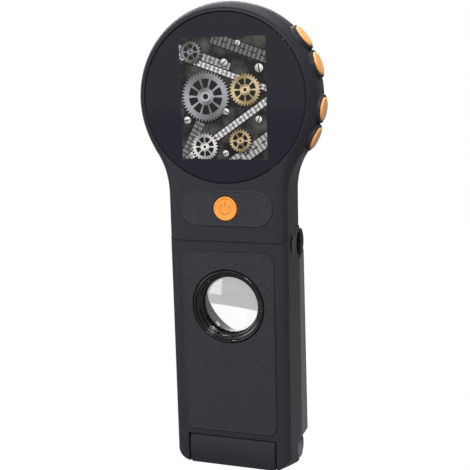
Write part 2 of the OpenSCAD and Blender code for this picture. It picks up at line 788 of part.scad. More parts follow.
module swing_washers() color("#a9adb3") both_sides() difference() {
    rod(swing_r - 1.6, swing_knuckle + 0.06, swing_knuckle + washer_gap - 0.06, swing_depth, swing_z);
    rod(pin_r + pin_play, 0, far, swing_depth, swing_z);
}

// ---- column ----

// Clearance in the column for the turning hinge barrels
module hinge_rooms() {
    rod(swing_r + barrel_play, -far, far, swing_depth, swing_z);
    rod(leg_r + barrel_play, -far, far, leg_depth, leg_z);
    block([-far, leg_depth, -far], [far, far, leg_z + leg_r + barrel_play]);
    block([-far, swing_depth, swing_z], [far, far, far]);
}

module column_shell() color("#2b2c31") difference() {
    column_form();
    hinge_rooms();
    block([-inner_w / 2, cover_depth, cover_low - 0.2], [inner_w / 2, far, swing_z]);
    block([-leg_knuckle - 0.2, cover_depth, leg_z], [leg_knuckle + 0.2, far, cover_low]);
    block([-inner_w / 2, wall, cover_low + 2.5], [inner_w / 2, far, cover_top - 2]);
    block([-inner_w / 2, wall, cover_top - 3], [inner_w / 2, swing_depth - swing_r - 2.2, seam_z - 1.4]);
    block([-inner_w / 2 + 4, toe_t + wall, foot_z + wall + 0.6],
          [inner_w / 2 - 4, leg_depth - leg_r - 2.2, foot_z + 16]);
    block([-toe_w / 2 - toe_gap, -far, -far], [toe_w / 2 + toe_gap, toe_t + 0.2, toe_top + toe_gap]);
    plate(-far, pad_sunk - column_proud) translate([0, grip_z])
        round_rect(grip_w + 0.2, grip_h + 0.2, grip_corner);
    disc(loupe_ring_r + 0.1, -far, far, 0, loupe_z);
    both_sides() rod(plug_r + 0.05, handle_w / 2 - 1.1, far, plug_depth, plug_z);
}

grip_z = seam_z - grip_top - grip_h / 2;

module column_cover() color("#26272b") {
    difference() {
        union() {
            block([0.2 - inner_w / 2, cover_depth, cover_low],
                  [inner_w / 2 - 0.2, column_back_depth, cover_top]);
            block([-swing_knuckle, cover_depth, cover_top - 2],
                  [swing_knuckle, column_back_depth, swing_z]);
            rod(swing_r - 0.2, -swing_knuckle, swing_knuckle, swing_depth, swing_z);
            rod(leg_r - 0.2, -leg_knuckle, leg_knuckle, leg_depth, leg_z);
            block([-leg_knuckle, cover_depth, leg_z],
                  [leg_knuckle, column_back_depth, cover_low + 1]);
        }
        rod(pin_r + pin_play, -far, far, swing_depth, swing_z);
        rod(pin_r, -far, far, leg_depth, leg_z);
        disc(loupe_lens_r - lens_seat + 0.2, 0, far, 0, loupe_z);
        both_sides() for (z = cover_screw_z) {
            disc(screw_r + 0.15, 0, far, cover_screw_x, z);
            disc(screw_head_r + 0.2, column_back_depth - 1.1, far, cover_screw_x, z);
        }
        both_sides() rod(leg_r + barrel_play, leg_knuckle, far, leg_depth, leg_z);
    }
}

cover_low = leg_z + leg_r + barrel_play + 0.5;
cover_screw_x = inner_w / 2 - 4;
cover_screw_z = [loupe_z - 20, cover_low + 8];

module cover_screws() color("#55585e") both_sides() for (z = cover_screw_z) {
    disc(screw_r, cover_depth - 4, column_back_depth - 1.1 + skin, cover_screw_x, z);
    difference() {
        disc(screw_head_r, column_back_depth - 1.1, column_back_depth - 0.1, cover_screw_x, z);
        translate([cover_screw_x, 0, z]) for (a = [0, 90]) rotate([0, a, 0])
            block([-1.3, column_back_depth - 0.6, -0.22], [1.3, far, 0.22]);
    }
}

module grip_panel() color("#303238") difference() {
    plate(column_face - pad_proud, pad_sunk - column_proud) translate([0, grip_z])
        round_rect(grip_w, grip_h, grip_corner);
    disc(loupe_ring_r + 0.1, -far, far, 0, loupe_z);
}

module hinge_cover() color("#2e3036") intersection() {
    block([-toe_w / 2, -far, foot_z], [toe_w / 2, toe_t, toe_top]);
    rod(toe_bulge, -far, far, column_face - 0.3 + toe_bulge, (foot_z + toe_top) / 2);
    slab(-far, far) union() {
        translate([column_face + toe_r, foot_z]) square([far, far]);
        translate([-far, foot_z + toe_r]) square([2 * far, far]);
        translate([column_face + toe_r, foot_z + toe_r]) circle(toe_r);
    }
}

module side_plugs() color("#34363c") both_sides() {
    rod(plug_r, handle_w / 2 - 1.1, handle_w / 2 + plug_proud - 0.4, plug_depth, plug_z);
    translate([handle_w / 2 + plug_proud - 0.4 - skin, plug_depth, plug_z]) rotate([0, 90, 0])
        cylinder(h = 0.4 + skin, r1 = plug_r, r2 = plug_r - 0.7);
}

// Stepped ring in front of the lens
module loupe_ring() color("#0c0c0e") translate([0, 0, loupe_z]) turned() {
    face = column_face - pad_proud - 0.15;
    step = (loupe_ring_r - 1.3 - loupe_clear_r) / 3;
    polygon([
        [loupe_ring_r, face + 0.3], [loupe_ring_r - 0.3, face], [loupe_ring_r - 1.3, face],
        [loupe_ring_r - 1.6, face + 1.5], [loupe_ring_r - 1.3 - step, face + 1.5],
        [loupe_ring_r - 1.6 - step, face + 3], [loupe_clear_r + step, face + 3],
        [loupe_clear_r, lens_front - 0.05], [loupe_ring_r, lens_front - 0.05]]);
}

module loupe_lens() color([0.8, 0.88, 0.92, 0.4]) translate([0, 0, loupe_z]) {
    sag = loupe_curve - sqrt(pow(loupe_curve, 2) - pow(loupe_clear_r, 2));
    turned() lens_profile(loupe_lens_r, lens_front - sag, loupe_shoulder + sag, loupe_curve);
}

module loupe_tube() color("#121214") translate([0, 0, loupe_z]) turned() {
    polygon([
        [loupe_lens_r + 0.05, lens_front], [loupe_ring_r - 0.1, lens_front],
        [loupe_ring_r - 0.1, lens_front + 3], [loupe_clear_r + loupe_tube_wall, lens_front + 3],
        [loupe_clear_r + loupe_tube_wall, cover_depth - 0.05], [loupe_clear_r, cover_depth - 0.05],
        [loupe_clear_r, loupe_shoulder + 0.1], [loupe_lens_r + 0.05, loupe_shoulder + 0.1]]);
}

// ---- lower hinge and leg ----

module leg_pin() color("#a9adb3") rod(pin_r, -pin_out, pin_out, leg_depth, leg_z);

module leg_washers() color("#a9adb3") both_sides() difference() {
    rod(leg_r - 0.9, leg_knuckle + 0.06, leg_knuckle + washer_gap - 0.06, leg_depth, leg_z);
    rod(pin_r + pin_play, 0, far, leg_depth, leg_z);
}

// Side view of the leg: a wedge that thickens towards the hinge
module leg_profile() {
    heel_z = leg_z + heel_r + 0.1;
    heel_y = leg_in + leg_end_t - leg_slope * (heel_z - leg_z) - heel_r;
    polygon([
        [leg_in, heel_z], [leg_in, leg_top], [leg_in + leg_top_t - 1, leg_top],
        [leg_in + leg_top_t, leg_top - 1], [heel_y + heel_r, heel_z]]);
    translate([heel_y, heel_z]) circle(heel_r);
    translate([leg_depth, leg_z + 0.1]) square([heel_y - leg_depth, heel_r]);
}

// The leg's outer form: its sides, its sloping back and the round long edges
module leg_form() intersection() {
    slab(-handle_w / 2, handle_w / 2) leg_profile();
    translate([0, leg_in + leg_end_t, leg_z]) rotate([atan(leg_slope), 0, 0])
        translate([0, 0, -far / 4]) linear_extrude(far)
            handle_section(handle_w, -far / 4, 0, leg_edge_r, leg_edge_r);
    plate(-far, far) leg_outline();
}

// Side view of the room in the leg, set in by inset
module leg_room_profile(inset, floor_t) polygon([
    [leg_in - 1, stage_low + inset], [leg_in - 1, stage_top - inset],
    [leg_in + leg_top_t - floor_t, stage_top - inset],
    [leg_in + leg_end_t - floor_t - leg_slope * (stage_low - leg_z), stage_low + inset]]);

stage_low = leg_z + leg_r + barrel_play + 2;
stage_top = cover_top - leg_wall;
stage_w = handle_w - 2 * leg_wall;

module leg_plate() color("#34363c") difference() {
    union() {
        leg_form();
        both_sides() rod(leg_r, leg_knuckle + washer_gap, lug_out, leg_depth, leg_z);
    }
    rod(leg_r + 0.2, -leg_knuckle - washer_gap, leg_knuckle + washer_gap, leg_depth, leg_z);
    rod(swing_r + barrel_play, -far, far, swing_depth, swing_z);
    rod(pin_r + pin_play, -far, far, leg_depth, leg_z);
    both_sides() rod(leg_r - barrel_rim, lug_out - barrel_hollow, far, leg_depth, leg_z);
    disc(leg_hole_r, 0, far, 0, loupe_z);
    difference() {
        slab(1.2 - stage_w / 2, stage_w / 2 - 1.2) leg_room_profile(1.2, leg_wall);
        disc(leg_hole_r + leg_wall, leg_in, far, 0, loupe_z);
    }
    block([-stage_w / 2, 0, stage_low], [stage_w / 2, leg_in + stage_t + stage_gap, stage_top]);
    rod(2.2, -9, 9, leg_in + leg_top_t + 1, leg_top);
    at_feet() disc(pad_r + 0.05, -0.8, far);
}

// Flat plate over the room in the leg: the stage when the leg is folded out
module stage_plate() color("#3a3c42") difference() {
    block([stage_gap - stage_w / 2, leg_in, stage_low + stage_gap],
          [stage_w / 2 - stage_gap, leg_in + stage_t, stage_top - stage_gap]);
    disc(leg_hole_r, 0, far, 0, loupe_z);
}

// Places on the sloping outer face of the leg
module at_feet() for (i = [-1, 1], z = [leg_top - 8, leg_z + 9.5])
    translate([i * (handle_w / 2 - 8), leg_in + leg_top_t + leg_slope * (leg_top - z), z])
        rotate([atan(leg_slope), 0, 0]) children();

module leg_feet() color("#18191b") at_feet() {
    disc(pad_r, -0.8, foot_proud - 0.3);
    translate([0, foot_proud - 0.3 - skin, 0]) rotate([-90, 0, 0])
        cylinder(h = 0.3 + skin, r1 = pad_r, r2 = pad_r - 0.4);
}

place() front_shell();
place() rear_shell();
place() screen_glass();
place() lcd_panel();
place() lcd_bracket();
place() main_board();
place() board_chips();
place() battery_pack();
place() side_key_board();
place() side_switches();
place() side_button(0);  // side_button_1
place() side_button(1);  // side_button_2
place() side_button(2);  // side_button_3
place() side_button(3);  // side_button_4
place() button_pad();
place() power_button();
place() power_board();
place() port_board();
place() usb_socket();
place() card_socket();
place() shell_screws();
place() sensor_board();
place() camera_barrel();
place() focus_ring();
place() barrel_cap();
place() lens_cell();
place() objective_lens();
place() led_board();
place() lamps();
place() light_shroud();
place() swing_pin();
place() swing_washers();
place() column_shell();
place() column_cover();
place() grip_panel();
place() hinge_cover();
place() side_plugs();
place() loupe_ring();
place() loupe_lens();
place() loupe_tube();
place() cover_screws();
place() leg_pin();
place() leg_washers();
place() leg_plate();
place() stage_plate();
place() leg_feet();
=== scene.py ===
"""Handheld digital microscope with a round screen head, a loupe and a folding stand."""

import json
import math

import bmesh
import bpy
import numpy as np
from mathutils import Matrix, Vector


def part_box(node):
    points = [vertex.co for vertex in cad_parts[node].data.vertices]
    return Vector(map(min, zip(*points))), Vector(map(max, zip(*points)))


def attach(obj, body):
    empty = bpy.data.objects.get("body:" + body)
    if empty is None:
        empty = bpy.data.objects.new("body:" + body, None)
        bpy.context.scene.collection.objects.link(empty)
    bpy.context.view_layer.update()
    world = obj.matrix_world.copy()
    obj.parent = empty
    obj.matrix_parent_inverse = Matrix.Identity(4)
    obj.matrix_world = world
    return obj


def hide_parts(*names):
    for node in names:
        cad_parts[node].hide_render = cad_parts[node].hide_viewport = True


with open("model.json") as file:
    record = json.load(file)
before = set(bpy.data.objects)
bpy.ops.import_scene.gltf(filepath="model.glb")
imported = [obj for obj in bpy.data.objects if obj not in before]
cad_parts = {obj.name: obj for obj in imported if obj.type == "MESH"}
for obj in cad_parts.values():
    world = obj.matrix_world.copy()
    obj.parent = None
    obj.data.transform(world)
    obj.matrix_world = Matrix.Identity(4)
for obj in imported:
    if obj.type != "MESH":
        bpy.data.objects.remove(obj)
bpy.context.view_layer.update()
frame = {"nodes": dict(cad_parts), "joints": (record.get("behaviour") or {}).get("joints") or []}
mm = 0.001


# ---- housings of the head and the upper handle ----
# Two mouldings of black ABS, screwed together behind the screen. Their outside is
# left satin by a fine spark-eroded grain in the mould.

housing_colour = (0.0225, 0.0225, 0.0300)
housing_shine = 0.50


class Wire:
    """A node's output that can be written in sums: each operation adds a Math node."""

    def __init__(self, shading, socket):
        self.shading = shading
        self.socket = socket

    def maths(self, operation, *others):
        return self.shading.node("ShaderNodeMath", {"operation": operation}, [self, *others])

    def __add__(self, other):
        return self.maths("ADD", other)

    def __sub__(self, other):
        return self.maths("SUBTRACT", other)

    def __rsub__(self, other):
        return self.shading.node("ShaderNodeMath", {"operation": "SUBTRACT"}, [other, self])

    def __mul__(self, other):
        return self.maths("MULTIPLY", other)

    __radd__ = __add__
    __rmul__ = __mul__

    def at_least(self, other):
        return self.maths("MAXIMUM", other)

    def at_most(self, other):
        return self.maths("MINIMUM", other)

    def size(self):
        return self.maths("ABSOLUTE")

    def ramp(self, low, high):
        """0 below low, 1 above high and a soft step between them."""
        return self.shading.node(
            "ShaderNodeMapRange", {"interpolation_type": "SMOOTHSTEP"},
            {"Value": self, "From Min": low, "From Max": high})


class Shading:
    """A tree of shader nodes, which are added one at a time."""

    def __init__(self, tree):
        self.tree = tree

    def node(self, kind, settings=None, inputs=None, output=0):
        """Adds a node: first its settings, then its sockets' values or links."""
        node = self.tree.nodes.new(kind)
        for setting, value in (settings or {}).items():
            setattr(node, setting, value)
        pairs = inputs.items() if isinstance(inputs, dict) else enumerate(inputs or ())
        for name, value in pairs:
            socket = node.inputs[name]
            if isinstance(value, Wire):
                self.tree.links.new(value.socket, socket)
            elif socket.type == "RGBA":
                socket.default_value = (*value, 1)
            else:
                socket.default_value = value
        return Wire(self, node.outputs[output])

    def every(self, kind, inputs=None):
        """Adds a node and gives all of its outputs, by name."""
        made = self.node(kind, None, inputs).socket.node
        return {socket.name: Wire(self, socket) for socket in made.outputs}


class Finish(Shading):
    """A material with one Principled shader."""

    def __init__(self, name, **constants):
        self.material = bpy.data.materials.new(name)
        self.material.use_nodes = True
        super().__init__(self.material.node_tree)
        self.shader = self.tree.nodes["Principled BSDF"]
        for constant, value in constants.items():
            socket = constant.replace("_", " ").title().replace("Ior", "IOR")
            self.shader.inputs[socket].default_value = value

    def feed(self, socket, wire):
        self.tree.links.new(wire.socket, self.shader.inputs[socket])

    def place(self):
        """Where a point of the piece is, in metres."""
        return self.node("ShaderNodeTexCoord", output=3)

    def noise(self, place, grain, detail=2.0, rough=0.5):
        """Cloudy noise whose lumps are about grain metres across, from 0 to 1."""
        inputs = {"Vector": place, "Scale": 1 / grain, "Detail": detail, "Roughness": rough}
        return self.node("ShaderNodeTexNoise", None, inputs)

    def cell_edges(self, place, grain):
        """Distance to the edge of cells about grain metres across."""
        inputs = {"Vector": place, "Scale": 1 / grain}
        return self.node("ShaderNodeTexVoronoi", {"feature": "DISTANCE_TO_EDGE"}, inputs)

    def blend(self, share, first, second):
        """first where share is 0, second where it is 1."""
        return self.node(
            "ShaderNodeMix", {"data_type": "RGBA"}, {0: share, 6: first, 7: second}, 2)

    def bump(self, height, depth):
        """Raises the surface by height times depth metres."""
        inputs = {"Height": height, "Distance": depth, "Strength": 1.0}
        self.feed("Normal", self.node("ShaderNodeBump", None, inputs))


def grey(tone):
    return (tone, tone, tone)


def scaled(colour, share):
    return tuple(part * share for part in colour)


def moulded_plastic(name, colour, shine, grain=0.35 * mm, depth=0.0025 * mm, **constants):
    """Moulded plastic: its colour drifts slightly, and a fine grain breaks up the shine."""
    finish = Finish(name, **constants)
    place = finish.place()
    drift = finish.noise(place, 14 * mm, 3)
    speckle = finish.noise(place, grain, 3, 0.6)
    dark, light = scaled(colour, 0.86), scaled(colour, 1.14)
    finish.feed("Base Color", finish.blend(drift, dark, light))
    finish.feed("Roughness", shine - 0.05 + 0.06 * drift + 0.04 * speckle)
    finish.bump(speckle, depth)
    return finish.material


def dress(material, *nodes):
    """Gives CAD nodes their material."""
    for node in nodes:
        mesh = frame["nodes"][node].data
        mesh.materials.clear()
        mesh.materials.append(material)


housing_finish = moulded_plastic(
    "housing", housing_colour, housing_shine, specular_ior_level=0.15)

glass_low, glass_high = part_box("screen_glass")
head_centre = (glass_low + glass_high) / 2
head_r = 39.0
glass_opening = 34.75
rim_inner = 34.9
bezel_arc, bezel_mid = 9.0, 7.55
back_arc, head_depth = 12.0, 24.0
handle_half = 26.0
front_edge, back_edge = 3.5, 6.0
neck_r = 28.0
parting = 19.5
seam_r, seam_crest, seam_axis = 30.35, 16.6, -84.29
pocket_floor = 1.95
button_depth = 9.8
seat_depth, seat_flat, seat_rise, seat_reach = 37.95, 6.3, 0.36, 9.8
seat_bore = 5.7
origin_depth = 10.0
blend_reach = 11.0
head_back = (back_arc, head_depth - back_arc, back_arc)
handle_back = (back_edge, head_depth - back_edge, back_edge)
parting_angles = [
    math.asin((parting - middle) / arc) for _, middle, arc in (head_back, handle_back)]
# shares of the flat side at which it has a line; the openings' ends are among them
side_lines = (
    0.034, 0.09, 0.145, 0.2, 0.255, 0.297, 0.338, 0.4, 0.462, 0.55, 0.64, 0.73, 0.82, 0.91)
housing_wall = 1.5 * mm
neck_x = handle_half + neck_r
neck_z = -math.sqrt((head_r + neck_r) ** 2 - neck_x**2)


def eased(corners, reach, steps=5):
    """A run of straight lines whose inner corners are curves: from A, reach before a
    corner C, to B, reach after it, along (1 - t)^2 A + 2 t (1 - t) C + t^2 B."""
    corners = np.asarray(corners, float)
    before = corners[:-2] - corners[1:-1]
    after = corners[2:] - corners[1:-1]
    length_before = np.linalg.norm(before, axis=1, keepdims=True)
    length_after = np.linalg.norm(after, axis=1, keepdims=True)
    reach = np.broadcast_to(np.asarray(reach, float), len(before))[:, None]
    start = corners[1:-1] + before / length_before * np.minimum(reach, 0.49 * length_before)
    end = corners[1:-1] + after / length_after * np.minimum(reach, 0.49 * length_after)
    t = np.linspace(0, 1, steps + 1)[None, :, None]
    curve = (1 - t) ** 2 * start[:, None] + 2 * t * (1 - t) * corners[1:-1, None]
    curve = curve + t**2 * end[:, None]
    return np.vstack([corners[:1], curve.reshape(-1, corners.shape[1]), corners[-1:]])


def to_row(points):
    """Millimetres from the head's centre, with depth from its front, to metres in the frame."""
    return (np.asarray(points, float) - [0, origin_depth, 0]) * mm + [0, 0, head_centre.z]


def circle(angle):
    return np.column_stack([np.cos(angle), np.sin(angle)])


def full_turn(steps):
    angle = np.linspace(0, 2 * np.pi, steps + 1)
    angle[-1] = 0
    return angle


def middle_of(low, high):
    """Middle of a box seen from the front."""
    return np.array([(low.x + high.x) / 2, (low.z + high.z) / 2])


def closed(rows):
    """A grid whose rows are rings that end where they begin."""
    grid = np.array(rows)
    return np.concatenate([grid, grid[:, :1]], axis=1)


def half_outline(step):
    """Right half of the body's outline, from the top round the head and through the hollow
    neck to the straight side: points, the direction out of the body, and the share of the
    handle's section in the shape there, eased by 3 t^2 - 2 t^3 along the neck."""
    tangent = math.atan2(neck_z, neck_x)
    head = np.linspace(math.pi / 2, tangent, int(head_r * (math.pi / 2 - tangent) / step))
    neck = np.linspace(math.pi + tangent, math.pi, int(neck_r * -tangent / step))[1:]
    way = np.vstack([circle(head), -circle(neck)])
    point = np.vstack([
        head_r * way[: len(head)], [neck_x, neck_z] - neck_r * way[len(head):]])
    run = np.concatenate([head_r * (tangent - head), -neck_r * (math.pi + tangent - neck)])
    t = np.clip((run + blend_reach) / (blend_reach - neck_r * tangent), 0, 1)
    return point, way, t * t * (3 - 2 * t)


def edge_section(first, last, arc_head, arc_handle, count):
    """Inset and depth along a rounded edge of the head and of the handle. Each arc is given
    by the middle's inset and depth and its radius; first and last are its angles on both."""
    share = np.linspace(0, 1, count)
    lines = []
    for (inset, depth, radius), a, b in zip((arc_head, arc_handle), first, last):
        angle = a + (b - a) * share
        lines.append(np.column_stack([
            inset - radius * np.cos(angle), depth + radius * np.sin(angle)]))
    return lines


def front_section():
    """The section from the front face to the parting line: front edge, side, back edge."""
    start = (-math.asin(bezel_mid / bezel_arc), -math.pi / 2)
    front = edge_section(
        start, (0, 0), (bezel_arc, bezel_mid, bezel_arc), (front_edge, front_edge, front_edge), 17)
    back = edge_section((0, 0), parting_angles, head_back, handle_back, 10)
    share = np.array(side_lines)[:, None]
    return [np.vstack([a, a[-1] * (1 - share) + b[0] * share, b]) for a, b in zip(front, back)]


def back_section():
    """The section from the parting line round the back edge to the flat back."""
    return edge_section(
        parting_angles, (math.pi / 2, math.pi / 2), head_back, handle_back, 16)


def side_grid(outline, section):
    """Points at inset and depth of the blended section behind each point of the outline:
    point - inset * way, at that depth."""
    point, way, share = outline
    head, handle = section
    line = (1 - share)[:, None, None] * head + share[:, None, None] * handle
    inset, depth = line[..., 0], line[..., 1]
    return np.stack([
        point[:, None, 0] - inset * way[:, None, 0], depth,
        point[:, None, 1] - inset * way[:, None, 1]], axis=-1)


def seam_height(depth):
    """Height of the curved seam at a depth: axis + sqrt(r^2 - (depth - crest)^2)."""
    return seam_axis + np.sqrt(seam_r**2 - (depth - seam_crest) ** 2)


def straight_grid(section, lowest, count):
    """The straight side of the handle from the neck down to the height lowest(depth)."""
    share = np.linspace(0, 1, count)[:, None]
    depth = np.broadcast_to(section[None, :, 1], (count, len(section)))
    x = np.broadcast_to(handle_half - section[None, :, 0], depth.shape)
    return np.stack([x, depth, neck_z + share * (lowest(depth) - neck_z)], axis=-1)


def face_grid(border, radius, depth, count):
    """Flat face between a circle round the head's axis and its border, row by row along
    rays from the axis."""
    angle = np.arctan2(border[:, 2], border[:, 0])
    ring = np.column_stack([
        radius * np.cos(angle), np.full(len(angle), depth), radius * np.sin(angle)])
    share = np.linspace(0, 1, count)[None, :, None]
    return ring[:, None] * (1 - share) + border[:, None] * share


def bore_grid(border, profile):
    """Turned surface inside the face's circle: profile of (radius, depth) at the same rays."""
    angle = np.arctan2(border[:, 2], border[:, 0])[:, None]
    radius, depth = profile[None, :, 0], profile[None, :, 1]
    return np.stack([
        radius * np.cos(angle), depth + 0 * angle, radius * np.sin(angle)], axis=-1)


def level_line(first_x, depth, height):
    """Lower edge of a face, from its rounded edge to the middle plane."""
    x = np.linspace(first_x, 0, edge_points)
    return np.column_stack([x, np.full(edge_points, depth), np.full(edge_points, height)])


def faced(side, straight, column, low_edge, radius, depth, count, profile):
    """The grids of half a housing: its side, its flat face out to that column of the side
    and down to the lower edge, and the turned surface inside the face's circle."""
    edges = (np.vstack([side[:, column], straight[1:, column]]), low_edge)
    faces = [face_grid(edge, radius, depth, count) for edge in edges]
    return [side, straight, *faces, *(bore_grid(edge, profile) for edge in edges)]


def mirrored(grids):
    return grids + [grid * [-1, 1, 1] for grid in grids]


def scooped(points, angles):
    """Presses a soft seat into the rim round each side button: within a few millimetres of
    the button's axis no point stands further out than seat_depth, and from there the limit
    rises as the square of the distance."""
    points = points.copy()
    for a in angles:
        out = np.array([math.cos(a), 0, math.sin(a)])
        along = points @ out
        over = points[..., 2] * math.cos(a) - points[..., 0] * math.sin(a)
        far = np.hypot(over, points[..., 1] - button_depth)
        limit = seat_depth + seat_rise * np.clip(far - seat_flat, 0, None) ** 2
        lower = 0.5 * (along + limit - np.sqrt((along - limit) ** 2 + 0.05))
        points += np.where((along > 0) & (far < seat_reach), lower - along, 0)[..., None] * out
    return points


def placed(name, data):
    """Puts a mesh, a lamp or a camera into the scene."""
    piece = bpy.data.objects.new(name, data)
    bpy.context.scene.collection.objects.link(piece)
    return piece


def skin(name, grids, flat_angle=40, openings=(), wall=0.0, share=None):
    """One mesh over one or more grids of points: each cell between neighbouring rows and
    columns is a face. Lines that meet are joined, and the shell faces outwards. Faces for
    which an opening's test is true are left out. A wall gives an open skin its thickness,
    of which each point has the share that share(points) states."""
    corners, faces, first = [], [], 0
    for points in grids:
        rows, columns = points.shape[:2]
        index = first + np.arange(rows * columns).reshape(rows, columns)
        cell = [index[:-1, :-1], index[1:, :-1], index[1:, 1:], index[:-1, 1:]]
        corners.append(points.reshape(-1, 3))
        faces.append(np.stack(cell, axis=-1).reshape(-1, 4))
        first += rows * columns
    corners, faces = np.vstack(corners), np.vstack(faces)
    middle = corners[faces].mean(axis=1)
    keep = np.ones(len(faces), bool)
    for left_out in openings:
        keep &= ~left_out(middle)
    mesh = bpy.data.meshes.new(name)
    mesh.from_pydata(corners.tolist(), [], faces[keep].tolist())
    form = bmesh.new()
    form.from_mesh(mesh)
    bmesh.ops.remove_doubles(form, verts=form.verts, dist=0.003 * mm)
    bmesh.ops.dissolve_degenerate(form, edges=form.edges, dist=0.003 * mm)
    bmesh.ops.delete(form, geom=[v for v in form.verts if not v.link_faces], context="VERTS")
    bmesh.ops.recalc_face_normals(form, faces=form.faces)
    form.to_mesh(mesh)
    form.free()
    mesh.shade_smooth()
    mesh.set_sharp_from_angle(angle=math.radians(flat_angle))
    piece = placed(name, mesh)
    if wall:
        thick = piece.modifiers.new("wall", "SOLIDIFY")
        thick.thickness = wall
        thick.offset = -1
    if share is not None:
        spots = np.empty(len(mesh.vertices) * 3, np.float32)
        mesh.vertices.foreach_get("co", spots)
        group = piece.vertex_groups.new(name="wall")
        for index, part in enumerate(share(spots.reshape(-1, 3))):
            group.add([index], float(part), "REPLACE")
        thick.vertex_group = "wall"
    piece.modifiers.new("even shading", "WEIGHTED_NORMAL").keep_sharp = True
    return piece


def turned(profile, centre, axis=(0, 1, 0), steps=96, wobble=None):
    """A profile of (distance along the axis, radius) turned about an axis through centre:
    centre + along * axis + radius * (cos a * across + sin a * up). wobble(angle, along)
    may be added to the radius."""
    axis = np.asarray(axis, float)
    up = np.array([0.0, 0.0, 1.0]) if abs(axis[2]) < 0.9 else np.array([0.0, 1.0, 0.0])
    across = np.cross(up, axis)
    across /= np.linalg.norm(across)
    up = np.cross(axis, across)
    profile = np.asarray(profile, float)
    angle = full_turn(steps)[:, None]
    along, radius = profile[None, :, 0], profile[None, :, 1]
    if wobble is not None:
        radius = radius + wobble(angle, along)
    spoke = np.cos(angle)[..., None] * across + np.sin(angle)[..., None] * up
    return np.asarray(centre, float) + along[..., None] * axis + radius[..., None] * spoke


def fitted(piece, body, material, slot, *nodes):
    """Gives a finished piece its body, its material and the CAD nodes that it stands for."""
    piece.data.materials.append(material)
    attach(piece, body)
    if nodes:
        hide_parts(*nodes)
    return piece


button_axes = {
    joint["child"]: -Vector(joint["axis"]).normalized()
    for joint in frame["joints"] if joint["child"].startswith("side_button")}
button_angles = [math.atan2(axis.z, axis.x) for axis in button_axes.values()]
outline = half_outline(0.5)
head_line, handle_line = front_section()
side = side_grid(outline, (head_line, handle_line))
straight = straight_grid(handle_line, seam_height, 41)
edge_points = 46
low_edge = level_line(handle_half - front_edge, 0.0, seam_height(0.0))
opening_profile = np.array([
    [glass_opening - 1.6, pocket_floor], [glass_opening, pocket_floor], [glass_opening, 1.0],
    [glass_opening, 0.12], [glass_opening + 0.05, 0.04], [rim_inner, 0.0]])
end_share = np.linspace(1, 0, edge_points)[:, None]
end_depth = np.broadcast_to(handle_line[None, :, 1], (edge_points, len(handle_line)))
seam_end = np.stack([
    end_share * (handle_half - handle_line[None, :, 0]), end_depth, seam_height(end_depth)],
    axis=-1)
front_half = faced(side, straight, 0, low_edge, rim_inner, 0.0, 46, opening_profile) + [seam_end]
pad_low, pad_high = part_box("button_pad")
usb_low, usb_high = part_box("usb_socket")
card_low, card_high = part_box("card_socket")
port_room = 0.1 * mm
pad_lap = 1.2 * mm


def under_pad(at):
    """Inside a long round-ended outline smaller than the raised pad, on the front."""
    half_h = (pad_high.z - pad_low.z) / 2 - pad_lap
    half_w = (pad_high.x - pad_low.x) / 2 - pad_lap - half_h
    up = at[:, 2] - (pad_high.z + pad_low.z) / 2
    off = np.hypot(np.clip(np.abs(at[:, 0]) - half_w, 0, None), up)
    return (off < half_h) & (at[:, 1] < (0.5 - origin_depth) * mm)


def at_ports(at):
    """Inside the openings of the two sockets, on the left side."""
    inside = [
        (at[:, 1] > low.y - port_room) & (at[:, 1] < high.y + port_room)
        & (at[:, 2] > low.z - port_room) & (at[:, 2] < high.z + port_room)
        for low, high in ((usb_low, usb_high), (card_low, card_high))]
    return np.any(inside, axis=0) & (at[:, 0] < -20 * mm)


def behind_buttons(at):
    """Within a side button's bore."""
    x, z = at[:, 0], at[:, 2] - head_centre.z
    back = at[:, 1] - (button_depth - origin_depth) * mm
    return np.any([
        (np.hypot(z * math.cos(a) - x * math.sin(a), back) < seat_bore * mm)
        & (x * math.cos(a) + z * math.sin(a) > 30 * mm) for a in button_angles], axis=0)


def seam_taper(at):
    """Share of the wall's thickness near the sharp front edge of the seam, so that the
    inside of the wall stays behind both faces: over / 0.72 or depth / 0.61, in walls."""
    depth = at[:, 1] / mm + origin_depth
    over = (at[:, 2] - head_centre.z) / mm - seam_height(depth)
    return np.clip(np.maximum(over / 0.72, depth / 0.61) / (housing_wall / mm), 0, 1)


front_grids = [to_row(scooped(grid, button_angles)) for grid in mirrored(front_half)]
front = skin(
    "front_housing", front_grids, 35, (under_pad, at_ports, behind_buttons), housing_wall,
    seam_taper)
fitted(front, "head", housing_finish, "housing", "front_shell")

back_line = back_section()
rear_end = -42.0
rear_side = side_grid(outline, back_line)
rear_straight = straight_grid(back_line[1], lambda depth: rear_end + 0 * depth, 6)
rear_low = level_line(handle_half - back_edge, head_depth, rear_end)
collar_foot, collar_top, barrel_hole, collar_h = 25.4, 23.2, 17.55, 2.2
collar_corners = eased([
    (barrel_hole, 20.0), (barrel_hole, head_depth + collar_h), (collar_top, head_depth + collar_h),
    (collar_foot, head_depth)], 0.3, 4)
rear_half = faced(
    rear_side, rear_straight, -1, rear_low, collar_foot, head_depth, 24, collar_corners)
screw_ring = head_r - 7.4
screw_angles = np.radians([62, 118, 196, 344])
screw_cup = 2.3
screw_floor = 20.85


def at_screws(at):
    """Within the head screws' cups on the back."""
    return np.any([
        np.hypot(
            at[:, 0] - screw_ring * mm * math.cos(a),
            at[:, 2] - head_centre.z - screw_ring * mm * math.sin(a)) < (screw_cup + 0.25) * mm
        for a in screw_angles], axis=0)


rear_grids = [to_row(grid) for grid in mirrored(rear_half)]
rear = skin("rear_housing", rear_grids, 35, (at_screws,), housing_wall)
fitted(rear, "head", housing_finish, "housing", "rear_shell")

